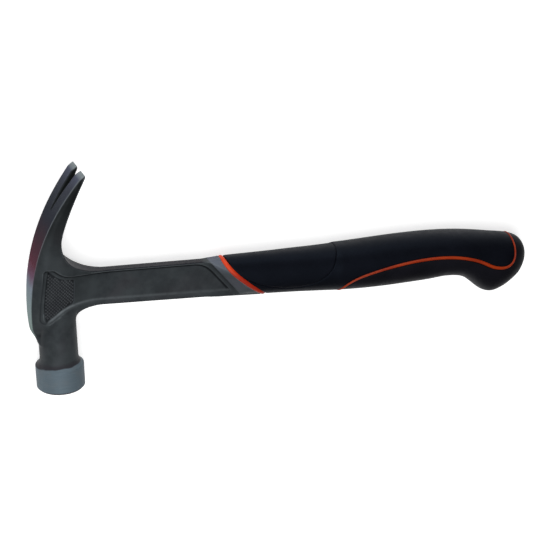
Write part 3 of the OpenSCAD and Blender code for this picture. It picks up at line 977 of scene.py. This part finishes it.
def skinNormal(row, column, step=0.2):
    ahead = np.minimum(row + step, len(rows) - 1.0)
    alongRow = skinPoint(ahead, column) - skinPoint(ahead - 2 * step, column)
    alongColumn = skinPoint(row, column + step) - skinPoint(row, column - step)
    normal = np.cross(alongColumn, alongRow)
    return normal / (np.linalg.norm(normal, axis=1)[:, None] + 1e-12)


def linePath(*runs):
    return np.concatenate([bezier([gripPoint(s) for s in r])[(0 if n == 0 else 1):]
                           for n, r in enumerate(runs)])


loopLine = linePath(*grip["loop"])
thumbLine = linePath(grip["thumb"], grip["thumbRise"])
seamPoint = gripPoint(grip["seam"])


def loopRadius(share):
    return tableAt(share, grip["loopRadius"])


def nearestShare(x, y, line):
    lengths = np.linalg.norm(np.diff(line, axis=0), axis=1)
    starts = np.concatenate([[0], np.cumsum(lengths)])
    best, share = np.full(np.shape(x), 1e12), np.zeros(np.shape(x))
    for n, (start, end) in enumerate(zip(line[:-1], line[1:])):
        along, away = toSegment(x, y, start, end)
        share = np.where(away < best, (starts[n] + along * lengths[n]) / starts[-1], share)
        best = np.minimum(best, away)
    return share


def frontDistance(x, y, back):
    return signedDistance(x, y, behindFront(back))


def thumbDistance(x, y):
    start = gripPoint(grip["thumb"][0])
    return signedDistance(x, y, outlineOf(
        [(start[0] - 12, 40)], [(start[0] - 12, start[1])], thumbLine, [seamPoint], [(seamPoint[0], 40)]))


def bellyDistance(x, y):
    far = reach["butt"] + 20
    return signedDistance(x, y, outlineOf(
        loopLine, [(far, loopLine[-1][1]), (far, -60), (loopLine[0][0], -60)]))


def seamSwell(x, y):
    past = x - seamPoint[0]
    rise = smoothStep(past, -6, 1) * smoothStep(y, -5, 5) * np.exp(-np.maximum(past, 0) / grip["seamFade"])
    return grip["seamBulge"] * rise


def regionFields():
    ring, gap = grip["ringWidth"], grip["gap"]

    def loopHalf(x, y):
        return loopRadius(nearestShare(x, y, loopLine)) + gap

    return {
        "thumbPad": lambda x, y: np.maximum(frontDistance(x, y, ring + gap), thumbDistance(x, y) + gap / 2),
        "palmGrip": lambda x, y: np.maximum(np.maximum(
            frontDistance(x, y, ring + gap), gap / 2 - thumbDistance(x, y)),
            loopHalf(x, y) - bellyDistance(x, y)),
        "bellyGrip": lambda x, y: bellyDistance(x, y) + loopHalf(x, y),
    }


def splitAlong(region, level, field):
    # faces are cut where the field has this level, and halving finds the place on each edge
    value = region["value"] - level
    outside = value > 0
    start, fresh = len(value), {}
    faces = []
    for face in region["faces"]:
        flags = [outside[i] for i in face]
        if all(flags) or not any(flags):
            faces.append(face)
            continue
        ring = []
        for i, j in zip(face, face[1:] + face[:1]):
            ring.append(i)
            if outside[i] != outside[j]:
                ring.append(fresh.setdefault((min(i, j), max(i, j)), start + len(fresh)))
        cuts = [n for n, v in enumerate(ring) if v >= start]
        if len(cuts) == 2:
            m, n = cuts
            faces += [ring[m:n + 1], ring[n:] + ring[:m + 1]]
        else:
            k, m, n, o = cuts[:4]
            faces += [ring[k:m + 1], ring[n:o + 1], ring[m:n + 1] + ring[o:] + ring[:k + 1]]
    if not fresh:
        return
    pairs = np.array(list(fresh))
    i, j = pairs.T
    period = grip["around"]
    row, column = region["row"], region["column"]
    turn = column[j] - column[i]
    turn -= period * np.round(turn / period)
    share = value[i] / (value[i] - value[j])
    low, high = np.zeros(len(share)), np.ones(len(share))
    lowSign = outside[i]
    for _ in range(5):
        r, c = row[i] + share * (row[j] - row[i]), column[i] + share * turn
        at = skinPoint(r, c)
        v = field(at[:, 0], at[:, 1]) - level
        same = (v > 0) == lowSign
        low, high = np.where(same, share, low), np.where(same, high, share)
        share = (low + high) / 2
    region["row"] = np.concatenate([row, row[i] + share * (row[j] - row[i])])
    region["column"] = np.concatenate([column, column[i] + share * turn])
    region["value"] = np.concatenate([region["value"], np.full(len(share), float(level))])
    region["faces"] = faces


def makeSkinPiece(name, field, swell=None):
    around, count = grip["around"], len(rows)
    row, column = (v.ravel() for v in np.meshgrid(np.arange(count, dtype=float),
                                                  np.arange(around, dtype=float), indexing="ij"))
    at = skinPoint(row, column)
    value = field(at[:, 0], at[:, 1])
    faces = []
    near = value.reshape(count, around) < 2
    for i in range(count - 1):
        for j in range(around):
            k = (j + 1) % around
            if near[i, j] or near[i + 1, k]:
                faces.append([i * around + j, i * around + k, (i + 1) * around + k, (i + 1) * around + j])
    if value[-1] < 0:
        faces.append([(count - 1) * around + j for j in range(around)])
    region = {"row": row, "column": column, "value": value, "faces": faces}
    splitAlong(region, 0.0, field)
    inside = region["value"] <= 1e-9
    region["faces"] = [f for f in region["faces"] if all(inside[i] for i in f)]
    for level, _ in grip["lip"][-2::-1]:
        splitAlong(region, level, field)
    used = sorted({i for f in region["faces"] for i in f})
    index = {v: n for n, v in enumerate(used)}
    faces = [[index[i] for i in f] for f in region["faces"]]
    row, column, value = (region[k][used] for k in ("row", "column", "value"))
    depth = tableAt(value, grip["lip"])
    at = skinPoint(row, column)
    if swell:
        depth = depth - swell(at[:, 0], at[:, 1])
    outer = at - skinNormal(row, column) * depth[:, None]
    inner = skinPoint(row, column, grip["soft"])
    shift = len(used)
    edges = {}
    for face in faces:
        for i, j in zip(face, face[1:] + face[:1]):
            edges[(i, j)] = True
    walls = [[j, i, i + shift, j + shift] for i, j in edges if (j, i) not in edges]
    under = [[i + shift for i in reversed(face)] for face in faces]
    piece = makeObject(name, np.concatenate([outer, inner]), faces + walls + under)
    piece.data.set_sharp_from_angle(angle=math.radians(50))
    cleanMesh(piece)
    print(name + ":", len(piece.data.polygons), "faces")
    return piece


def finishPiece(piece, material, node):
    piece.data.materials.clear()
    piece.data.materials.append(material)
    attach(piece, "root")
    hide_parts(node)


# Beads that follow a closed path over the skin, swept by Geometry Nodes

def surfacePath(line, step):
    # the part of a side view's line that lies on the grip, up on one side and back on the other
    fine = []
    for (ax, ay), (bx, by) in zip(line[:-1], line[1:]):
        for t in np.linspace(0, 1, 40, endpoint=False):
            fine.append((ax + t * (bx - ax), ay + t * (by - ay)))
    fine = np.array(fine)
    yc, half, wide = sectionAt(fine[:, 0])
    inside = np.abs(fine[:, 1] - yc) < half
    halfway = np.flatnonzero(inside)[len(np.flatnonzero(inside)) // 2]
    first = halfway - np.argmin(inside[halfway::-1]) + 1
    ahead = inside[halfway:]
    last = halfway + (len(ahead) if ahead.all() else np.argmin(ahead))
    fine, yc, half, wide = fine[first:last], yc[first:last], half[first:last], wide[first:last]
    power = grip["power"]
    z = wide * np.maximum(1 - (np.abs(fine[:, 1] - yc) / half) ** power, 0) ** (1 / power)
    one = np.column_stack([fine, z])
    share = nearestShare(one[:, 0], one[:, 1], line)
    ends = []
    for n in (0, -1):
        end = one[n].copy()
        end[1] = yc[n] + np.sign(end[1] - yc[n]) * half[n]
        end[2] = 0
        ends.append(end)
    one = np.vstack([ends[0], one, ends[1]])
    share = np.concatenate([[share[0]], share, [share[-1]]])
    other = one[-2:0:-1] * (1, 1, -1)
    path, share = np.vstack([one, other]), np.concatenate([share, share[-2:0:-1]])
    closed = np.vstack([path, path[:1]])
    length = lengthAlong(closed)
    wanted = np.linspace(0, length[-1], int(length[-1] / step), endpoint=False)
    out = np.stack(columnsAt(wanted, length, closed), 1)
    for _ in range(3):
        out = (np.roll(out, 1, axis=0) + 2 * out + np.roll(out, -1, axis=0)) / 4
    return out, np.interp(wanted, length, np.append(share, share[0]))


def outwards(points, step=0.2):
    yc, half, wide = sectionAt(points[:, 0])
    power = grip["power"] - 1
    slopeHalf = (sectionAt(points[:, 0] + step)[1] - sectionAt(points[:, 0] - step)[1]) / (2 * step)
    u, v = (points[:, 1] - yc) / half, points[:, 2] / wide
    normal = np.stack([-slopeHalf / half, np.sign(u) * np.abs(u) ** power / half,
                       np.sign(v) * np.abs(v) ** power / wide], 1)
    return normal / np.linalg.norm(normal, axis=1)[:, None]


# A tree with named inputs that ends in Realize Instances and Set Material

class Shape(Nodes):
    def __init__(self, name, inputs):
        super().__init__(bpy.data.node_groups.new(name, "GeometryNodeTree"))
        face = self.tree.interface
        for label, kind, value in (("Geometry", "Geometry", None), *inputs, ("Material", "Material", None)):
            socket = face.new_socket(label, in_out="INPUT", socket_type="NodeSocket" + kind)
            if value is not None:
                socket.default_value = value
        face.new_socket("Geometry", in_out="OUTPUT", socket_type="NodeSocketGeometry")
        self.given = self.node("NodeGroupInput").outputs

    def stored(self, name, kind):
        made = self.node("GeometryNodeInputNamedAttribute", {"Name": name}, data_type=kind)
        return made.outputs["Attribute"]

    def finish(self, geometry):
        realize = self.node("GeometryNodeRealizeInstances", {0: geometry})
        paint = self.node("GeometryNodeSetMaterial", {
            "Geometry": realize.outputs[0], "Material": self.given["Material"]})
        self.node("NodeGroupOutput", {"Geometry": paint.outputs[0]})
        return self.tree


def sweepTree():
    shape = Shape("beadOnPath", (
        ("Bead Width", "Float", 2.0), ("Bead Height", "Float", 1.0), ("Sides", "Int", 20)))
    given = shape.given
    path = shape.node("GeometryNodeMeshToCurve", {0: given["Geometry"]})
    aim = shape.node("GeometryNodeSetCurveNormal", {
        "Curve": path.outputs[0], "Normal": shape.stored("outward", "FLOAT_VECTOR")}, mode="FREE")
    # a circle 1 mm across is scaled to the bead's height and width in mm
    circle = shape.node("GeometryNodeCurvePrimitiveCircle", {
        "Resolution": given["Sides"], "Radius": 0.0005})
    size = shape.node("ShaderNodeCombineXYZ", {0: given["Bead Height"], 1: given["Bead Width"]})
    section = shape.node("GeometryNodeTransform", {
        "Geometry": circle.outputs["Curve"], "Scale": size.outputs[0]})
    sweep = shape.node("GeometryNodeCurveToMesh", {
        "Curve": aim.outputs[0], "Profile Curve": section.outputs[0],
        "Scale": shape.stored("taper", "FLOAT")})
    return shape.finish(sweep.outputs[0])


def evaluateTree(piece, tree, settings):
    modifier = piece.modifiers.new("shape", "NODES")
    modifier.node_group = tree
    sockets = {i.name: i.identifier for i in tree.interface.items_tree
               if i.item_type == "SOCKET" and i.in_out == "INPUT"}
    for name, value in settings.items():
        modifier[sockets[name]] = value
    piece.update_tag()
    mesh, old = evaluated(piece), piece.data
    piece.modifiers.remove(modifier)
    piece.data = mesh
    mesh.name = piece.name
    bpy.data.meshes.remove(old)
    mesh.shade_smooth()


def makeBead(name, line, settings, taper, material, sunk):
    path, share = surfacePath(line, settings["step"])
    normal = outwards(path)
    path = path - normal * sunk(share)[:, None]
    count = len(path)
    mesh = bpy.data.meshes.new(name)
    mesh.from_pydata([tuple(p) for p in toFrame(path)], [(i, (i + 1) % count) for i in range(count)], [])
    piece = addObject(name, mesh)
    layer = mesh.attributes.new("outward", "FLOAT_VECTOR", "POINT")
    layer.data.foreach_set("vector", normal.astype(np.float32).ravel())
    addAttribute(piece, "taper", taper(share))
    evaluateTree(piece, beadTree, {
        "Bead Width": settings["width"], "Bead Height": settings["height"], "Sides": settings["sides"],
        "Material": material})
    cleanMesh(piece)
    print(name + ":", len(piece.data.polygons), "faces")
    return piece


# The finishes of steel, rubber and plastic

steelLook = {
    # the rubbed colour also serves as a painted highlight; the crease, slot, wall and claw colours are
    # painted shade; the heat colour is also painted shade on the face's chamfer; the collar's top colour is
    # a painted highlight
    "dark": (0.025, 0.029, 0.032), "light": (0.044, 0.051, 0.055), "warm": (0.042, 0.034, 0.040),
    "wearAndHighlight": (0.13, 0.145, 0.155), "creaseShade": (0.006, 0.007, 0.008), "slot": (0.010, 0.012, 0.012),
    "wall": (0.008, 0.008, 0.012), "heat": (0.021, 0.014, 0.020), "claws": (0.007, 0.008, 0.008),
    "collar": (0.060, 0.068, 0.074), "collarHighlight": (0.108, 0.122, 0.150), "violet": (0.085, 0.075, 0.11),
    "ground": (0.092, 0.123, 0.146), "streak": (0.14, 0.18, 0.21), "bevel": (0.22, 0.25, 0.26),
    "metallic": (0.12, 0.3), "specular": (0.2, 0.02),  # as forged, and on the crown's band
    "specularTint": (0.2, 0.22, 0.25), "roughness": (0.46, 0.6), "bandSmoother": 0.06,
    "groundFrom": 49.2, "groundLean": 2.0, "waver": 1.2, "chamfer": (63.2, 63.5, 64.55, 64.75),
    # heat tint along the crown, from the heel to the claws; its pale green-grey at the heel is a painted
    # reflection
    "temperAndReflection": [(-30, (0.14, 0.20, 0.18)), (-20, (0.275, 0.36, 0.34)), (-6, (0.255, 0.325, 0.34)),
             (4, (0.23, 0.27, 0.325)), (11, (0.15, 0.075, 0.125)), (18, (0.115, 0.022, 0.045)),
             (30, (0.062, 0.016, 0.032)), (38, (0.036, 0.020, 0.032)), (47, (0.021, 0.024, 0.038)),
             (58, (0.034, 0.039, 0.051)), (66, (0.046, 0.050, 0.067)), (72, (0.068, 0.074, 0.106)),
             (79, (0.115, 0.13, 0.185))],
}


class Steel(Finish):
    # dark forging scale with a fine grain, which takes further coats
    def __init__(self, name, look):
        super().__init__(name)
        self.look = look
        self.fine = self.noise(0.7, 4, 0.65)
        self.warmth = self.noise(26, 3, 0.5, distortion=0.6)
        self.colour = self.mix(self.span(self.noise(14, 4, 0.6), 0.3, 0.72), look["dark"], look["light"])
        self.coat(self.span(self.warmth, 0.5, 0.75, (0.0, 0.25)), "warm")
        self.coat(self.span(self.fine, 0.35, 0.75, (0.0, 0.25)), "light")
        self.rough = self.span(self.fine, 0.25, 0.8, look["roughness"])
        dents = self.bump(self.noise(3.2, 2, 0.5), 0.10, 0.35)
        self.normal = self.bump(self.noise(0.45, 3, 0.6), 0.045, 0.6, dents)

    def coat(self, factor, colour):
        colour = self.look[colour] if isinstance(colour, str) else colour
        self.colour = self.mix(factor, self.colour, colour)

    def done(self, metallic, specular):
        return self.shade(
            Base_Color=self.colour, Metallic=metallic, Roughness=self.rough, Normal=self.normal,
            Specular_IOR_Level=specular, Specular_Tint=(*self.look["specularTint"], 1.0))


def forgedSteel(name, look):
    steel = Steel(name, look)
    # darker towards the claws as a painted shade, with a heat tint along the ground crown that is pale at
    # the heel as a painted reflection
    y = steel.axis("Y")
    steel.coat(steel.span(y, 4, 72), "claws")
    drift = steel.math("ADD", y, steel.drift(9, 2, 0.5, 4.0))
    low, high = look["temperAndReflection"][0][0], look["temperAndReflection"][-1][0]
    temperAndReflection = steel.ramp(steel.span(drift, low, high, smooth=False),
                      [((at - low) / (high - low), c) for at, c in look["temperAndReflection"]])
    onBand = steel.attribute("crownBand")
    steel.coat(onBand, steel.mix(steel.span(steel.fine, 0.3, 0.8, (0.0, 0.3)), temperAndReflection, look["dark"]))

    # the collar's bare step with a painted highlight on its top, painted shade in creases and corners, and
    # edges rubbed bright with a painted highlight
    collar = steel.mix(steel.span(y, 2, 10), look["collar"], look["collarHighlight"])
    collar = steel.mix(steel.span(steel.warmth, 0.4, 0.65, (0.0, 0.6)), collar, look["violet"])
    steel.coat(steel.span(steel.attribute("pastFoot"), 2.9, 3.5), collar)
    # painted shade in creases and corners
    steel.coat(steel.span(steel.attribute("wearAndHighlight"), -0.055, -0.008, (0.9, 0.0)), "creaseShade")
    rubAndHighlight = steel.math("ADD", steel.attribute("wearAndHighlight"), steel.drift(4, 3, 0.6, 0.012))
    rubAndHighlight = steel.math("MAXIMUM", steel.span(rubAndHighlight, 0.014, 0.06, (0.0, 0.4)), steel.attribute("ridgeHighlight"))
    steel.coat(rubAndHighlight, "wearAndHighlight")
    # a patchy painted highlight along the lower flange's lip
    patchy = steel.span(steel.noise(5, 3, 0.6), 0.2, 0.6, (0.6, 1.0))
    steel.coat(steel.math("MULTIPLY", steel.attribute("lowLipHighlight"), patchy), "wearAndHighlight")
    # painted shade on the outline's walls, on the sunk panel and the recess's back wall, and in the nail
    # slot
    for mark, share, colour in (
            ("planWallShade", 0.95, "wall"), ("panelShade", 0.6, "creaseShade"), ("slotShade", 0.8, "slot")):
        steel.coat(steel.math("MULTIPLY", steel.attribute(mark), share), colour)

    # bell ground on a wheel up to a wavering line, with heat tint above it, and painted shade on the face's
    # chamfer
    along, ground = steel.attribute("alongPoll"), look["groundFrom"]
    edge = steel.math("ADD", along, steel.drift(11, 2, 0.5, look["waver"]))
    edge = steel.math("ADD", edge, steel.span(steel.axis("X"), -16, 4, (0.0, look["groundLean"])))
    bell = steel.span(edge, ground, ground + 0.7)
    turned = steel.node("ShaderNodeCombineXYZ", {
        0: steel.math("MULTIPLY", along, 9.0), 1: steel.math("MULTIPLY", steel.axis("X"), 0.12),
        2: steel.math("MULTIPLY", steel.axis("Z"), 0.12)})
    lines = steel.noise(1, 4, 0.7, turned.outputs[0])
    bright = steel.mix(steel.span(lines, 0.3, 0.75, (0.0, 0.6)), look["ground"], look["streak"])
    bright = steel.mix(steel.span(steel.noise(6, 3, 0.5), 0.45, 0.75, (0.0, 0.3)), bright, look["wearAndHighlight"])
    steel.coat(steel.span(edge, ground - 3.2, ground - 0.6, (0.0, 0.45)), "heat")
    steel.coat(bell, bright)
    # painted shade on the face's chamfer, in the heat colour
    begins, full, fades, ends = look["chamfer"]
    chamfer = steel.math("SUBTRACT", steel.span(along, begins, full), steel.span(along, fades, ends))
    steel.coat(steel.math("MULTIPLY", chamfer, 0.85), "heat")
    bevel = steel.attribute("tipBevel")
    steel.coat(bevel, "bevel")

    steel.rough = steel.math("SUBTRACT", steel.rough, steel.math("MULTIPLY", onBand, look["bandSmoother"]))
    scratches = steel.math("MULTIPLY", lines, steel.math("MAXIMUM", bell, bevel))
    steel.normal = steel.bump(scratches, 0.02, 0.6, steel.normal)
    return steel.done(*(steel.span(onBand, 0, 1, look[name]) for name in ("metallic", "specular")))


def studSteel(name, look):
    return Steel(name, look).done(look["metallic"][0], look["specular"][0])


def mouldedRubber(name, look):
    rubber = Finish(name)
    cloud = rubber.noise(22, 4, 0.55)
    fine = rubber.noise(0.55, 3, 0.6)
    scuffs = rubber.noise(2.6, 5, 0.7, distortion=1.2)
    colour = rubber.mix(rubber.span(cloud, 0.3, 0.7), look["deep"], look["body"])
    colour = rubber.mix(rubber.span(scuffs, 0.6, 0.8, (0.0, look["scuff"])), colour, look["pale"])
    colour = rubber.mix(rubber.span(fine, 0.45, 0.8, (0.0, 0.2)), colour, look["pale"])
    # painted shade: darker towards the lower side
    if "lowerShade" in look:
        lowerShade = look["lowerShade"]
        lower = rubber.span(rubber.axis("Y"), *lowerShade["between"], (lowerShade["share"], 0.0))
        colour = rubber.mix(lower, colour, lowerShade["colour"])
    rough = rubber.span(rubber.noise(5, 4, 0.6), 0.25, 0.75, look["roughness"])
    normal = rubber.bump(rubber.noise(look["grain"], 2, 0.5), look["grainDepth"], 0.7,
                         rubber.bump(rubber.noise(6, 2, 0.5), 0.12, 0.3))
    return rubber.shade(Base_Color=colour, Roughness=rough, Normal=normal,
                        Specular_IOR_Level=look["specular"], Specular_Tint=(*look["gloss"], 1.0))


palmLook = {
    "deep": (0.0018, 0.0018, 0.0030), "body": (0.0030, 0.0031, 0.0052), "pale": (0.010, 0.011, 0.016),
    "scuff": 0.25, "roughness": (0.46, 0.56), "grain": 0.5, "grainDepth": 0.035, "specular": 0.105,
    "gloss": (0.5, 0.7, 1.0)}
padLook = {
    "deep": (0.0022, 0.0022, 0.0036), "body": (0.0036, 0.0037, 0.0060), "pale": (0.011, 0.012, 0.018),
    "scuff": 0.2, "roughness": (0.48, 0.56), "grain": 0.36, "grainDepth": 0.03, "specular": 0.105,
    "gloss": (0.5, 0.7, 1.0)}
bellyLook = {
    "deep": (0.0036, 0.0034, 0.0048), "body": (0.0060, 0.0056, 0.0082), "pale": (0.014, 0.014, 0.018),
    "scuff": 0.3, "roughness": (0.46, 0.58), "grain": 0.62, "grainDepth": 0.06, "specular": 0.09,
    "gloss": (0.7, 0.8, 1.0)}
orangeLook = {
    "deep": (0.50, 0.030, 0.006), "body": (0.72, 0.060, 0.012), "pale": (0.74, 0.10, 0.035),
    "scuff": 0.2, "roughness": (0.4, 0.54), "grain": 0.5, "grainDepth": 0.03, "specular": 0.25,
    "gloss": (1.0, 0.9, 0.85)}
# the ring is darker at its lower end, a painted shade on its underside, and the loop is a darker orange all
# along
ringLook = {**orangeLook, "lowerShade": {"colour": (0.27, 0.012, 0.003), "between": (-1, 10), "share": 0.85}}
loopLook = {
    **orangeLook, "deep": (0.21, 0.015, 0.0025), "body": (0.33, 0.031, 0.0035), "pale": (0.36, 0.055, 0.02)}
coreLook = {
    "deep": (0.010, 0.010, 0.011), "body": (0.017, 0.017, 0.019), "pale": (0.035, 0.035, 0.038),
    "scuff": 0.2, "roughness": (0.5, 0.65), "grain": 0.8, "grainDepth": 0.06, "specular": 0.4,
    "gloss": (1.0, 1.0, 1.0)}

steelMaterial = forgedSteel("forgedSteel", steelLook)
studLook = {**steelLook, "dark": (0.040, 0.043, 0.048), "light": (0.066, 0.071, 0.077),
            "warm": (0.056, 0.050, 0.055)}
chequerMaterial = studSteel("chequeredSteel", studLook)
palmMaterial = mouldedRubber("palmRubber", palmLook)
padMaterial = mouldedRubber("padRubber", padLook)
bellyMaterial = mouldedRubber("bellyRubber", bellyLook)
ringMaterial = mouldedRubber("accentOrange", ringLook)
loopMaterial = mouldedRubber("soiledOrange", loopLook)
coreMaterial = mouldedRubber("corePlastic", coreLook)
print("materials made:", len(bpy.data.materials))

finishPiece(steelBody, steelMaterial, "steel_body")

# The grip's soft pieces

fields = regionFields()
for name, material, slot, node, swell in (
        ("thumbPad", padMaterial, "pad_rubber", "thumb_pad", None),
        ("palmGrip", palmMaterial, "palm_rubber", "palm_grip", seamSwell),
        ("bellyGrip", bellyMaterial, "belly_rubber", "belly_grip", None)):
    finishPiece(makeSkinPiece(name, fields[name], swell), material, node)

# Worn pyramids on the sunk panel of each cheek, set by Geometry Nodes

chequer = {
    "pitch": 1.5, "base": 1.32, "top": 0.5, "height": 0.5, "margin": 0.35, "sink": 0.1, "patchCell": 0.5,
    "studs": 31, "dropFrom": 30.0,  # studs along a side of the grid, and how far off the cheek it starts
}


def panelPatches(name):
    outline = panelOutline()
    low, high = outline.min(axis=0), outline.max(axis=0)
    xs = np.arange(low[0], high[0] + chequer["patchCell"], chequer["patchCell"])
    ys = np.arange(low[1], high[1] + chequer["patchCell"], chequer["patchCell"])
    x, y = np.meshgrid(xs, ys, indexing="ij")
    floor = sideHalf(x, y) - forging["recess"] - forging["panel"] - chequer["sink"]
    keep = signedDistance(x, y, outline) < -chequer["margin"]
    index = np.arange(x.size).reshape(x.shape)
    quads = []
    for i in range(len(xs) - 1):
        for j in range(len(ys) - 1):
            if keep[i:i + 2, j:j + 2].all():
                quads.append((index[i, j], index[i + 1, j], index[i + 1, j + 1], index[i, j + 1]))
    points = np.stack([x, y, floor], -1).reshape(-1, 3)
    other = points * (1, 1, -1)
    quads = np.array(quads)
    return makeObject(name, np.vstack([points, other]),
                      np.vstack([quads, quads[:, ::-1] + len(points)]))


def chequerTree(studs, away):
    shape = Shape("chequerOnPanel", (
        *((name, "Float", None) for name in ("Pitch", "Base", "Top", "Height")),
        ("Centre", "Vector", None)))
    given = shape.given
    spacing = shape.math("MULTIPLY", given["Pitch"], studs - 1)
    # the radius of a cone with four sides runs to its corners, so it is a side times the root of a half
    top, base = (shape.math("MULTIPLY", given[name], math.sqrt(0.5)) for name in ("Top", "Base"))
    stud = shape.node("GeometryNodeMeshCone", {
        "Vertices": 4, "Radius Top": top, "Radius Bottom": base, "Depth": given["Height"]})
    both = shape.node("GeometryNodeJoinGeometry")
    for side in (1, -1):
        # a diagonal grid is dropped on each cheek, and what misses the patch is deleted
        lattice = shape.node("GeometryNodeMeshGrid", {
            "Vertices X": studs, "Vertices Y": studs, "Size X": spacing, "Size Y": spacing})
        lift = shape.node(
            "ShaderNodeVectorMath", {0: given["Centre"], 1: (0, 0, side * away)}, operation="ADD")
        turn = shape.node("GeometryNodeTransform", {
            "Geometry": lattice.outputs["Mesh"], "Translation": lift.outputs[0],
            "Rotation": (0, 0, math.pi / 4)})
        ray = shape.node("GeometryNodeRaycast", {
            "Target Geometry": given["Geometry"], "Ray Direction": (0, 0, -side), "Ray Length": away})
        facing = shape.node("GeometryNodeStoreNamedAttribute", {
            "Geometry": turn.outputs[0], "Name": "facing", "Value": ray.outputs["Hit Normal"]},
            data_type="FLOAT_VECTOR")
        missed = shape.node("FunctionNodeBooleanMath", {0: ray.outputs["Is Hit"]}, operation="NOT")
        trim = shape.node("GeometryNodeDeleteGeometry", {
            "Geometry": facing.outputs[0], "Selection": missed.outputs[0]})
        drop = shape.node("GeometryNodeSetPosition", {
            "Geometry": trim.outputs[0], "Position": ray.outputs["Hit Position"]})
        align = shape.node("FunctionNodeAlignRotationToVector", {
            "Vector": shape.stored("facing", "FLOAT_VECTOR")})
        place = shape.node("GeometryNodeInstanceOnPoints", {
            "Points": drop.outputs[0], "Instance": stud.outputs["Mesh"], "Rotation": align.outputs[0]})
        shape.link(place.outputs[0], both.inputs[0])
    return shape.finish(both.outputs[0])


def makeChequer():
    piece = panelPatches("cheekChequer")
    centre = toFrame(panelOutline().mean(axis=0).tolist() + [0])
    evaluateTree(piece, chequerTree(chequer["studs"], chequer["dropFrom"] / 1000), {
        "Pitch": chequer["pitch"] / 1000, "Base": chequer["base"] / 1000, "Top": chequer["top"] / 1000,
        "Height": chequer["height"] / 1000, "Centre": tuple(centre), "Material": chequerMaterial})
    piece.data.shade_flat()
    print("cheekChequer:", len(piece.data.polygons), "faces")
    return piece


cheekChequer = makeChequer()
finishPiece(cheekChequer, chequerMaterial, "steel_body")

beadTree = sweepTree()
loopBead = {"step": 0.5, "width": 2.0, "height": 2.0, "sides": 20, "proud": 0.35}
sideAccentLoop = makeBead(
    "sideAccentLoop", loopLine, loopBead, loopRadius, loopMaterial,
    lambda share: loopRadius(share) - loopBead["proud"])
finishPiece(sideAccentLoop, loopMaterial, "side_accent_loop")

ringBead = {"step": 0.5, "width": 3.1, "height": 2.6, "sides": 28, "proud": 0.35}
ringMiddle = frontLine(grip["ringWidth"] / 2)
frontAccentRing = makeBead(
    "frontAccentRing", ringMiddle, ringBead, lambda share: np.ones(len(share)), ringMaterial,
    lambda share: np.full(len(share), ringBead["height"] / 2 - ringBead["proud"]))
finishPiece(frontAccentRing, ringMaterial, "front_accent_ring")


# Floor and light

stage = {
    "floor": 12.0, "colour": (0.8, 0.8, 0.8), "glow": 0.62, "far": (0.6, 2.2), "world": 0.06,
    "key": {"place": (-0.15, 1.45, 0.6), "size": 1.3, "power": 15.0},
    "fill": {"place": (-0.55, -0.25, 1.35), "size": 1.5, "power": 20.0},
}


def makeStage(s):
    h, low = s["floor"], cadLow.z
    mesh = bpy.data.meshes.new("floor")
    mesh.from_pydata([(-h, -h, low), (h, -h, low), (h, h, low), (-h, h, low)], [], [(0, 1, 2, 3)])
    floor = addObject("floor", mesh)
    material = bpy.data.materials.new("floor")
    material.use_nodes = True
    material.node_tree.nodes.clear()
    paint = Nodes(material.node_tree)
    ray = paint.node("ShaderNodeLightPath").outputs
    # the far floor gets little of the lamps' light, so it glows more for the camera
    place = paint.node("ShaderNodeTexCoord").outputs["Object"]
    away = paint.node("ShaderNodeVectorMath", {0: place}, operation="LENGTH").outputs["Value"]
    farGlow = paint.math("MULTIPLY_ADD", ray["Is Camera Ray"], 1 - s["glow"], s["glow"])
    strength = paint.span(away, *s["far"], (s["glow"], farGlow))
    glow = paint.node("ShaderNodeEmission", {"Strength": strength})
    diffuse = paint.node("ShaderNodeBsdfDiffuse", {"Color": (*s["colour"], 1)})
    both = paint.node("ShaderNodeAddShader", {0: diffuse.outputs[0], 1: glow.outputs[0]})
    mirrored = paint.math("MAXIMUM", ray["Is Glossy Ray"], ray["Is Transmission Ray"])
    seen = paint.math("MAXIMUM", ray["Is Camera Ray"], mirrored)
    mix = paint.node("ShaderNodeMixShader", {0: seen, 1: diffuse.outputs[0], 2: both.outputs[0]})
    paint.node("ShaderNodeOutputMaterial", {"Surface": mix.outputs[0]})
    mesh.materials.append(material)


def addLamp(name, place, size, power):
    data = bpy.data.lights.new(name, "AREA")
    data.shape = "DISK"
    data.size = size
    data.energy = power
    lamp = addObject(name, data)
    lamp.location = place
    lamp.rotation_euler = (-Vector(place)).to_track_quat("-Z", "Y").to_euler()


makeStage(stage)
for lampName in ("key", "fill"):
    addLamp(lampName, **stage[lampName])
world = bpy.data.worlds.new("world")
bpy.context.scene.world = world
world.use_nodes = True
background = world.node_tree.nodes["Background"].inputs
background["Color"].default_value = (1, 1, 1, 1)
background["Strength"].default_value = stage["world"]
bpy.context.scene.view_settings.view_transform = "Standard"
print("floor and lamps placed")

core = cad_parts["grip_core"]
core.data.materials.clear()
core.data.materials.append(coreMaterial)
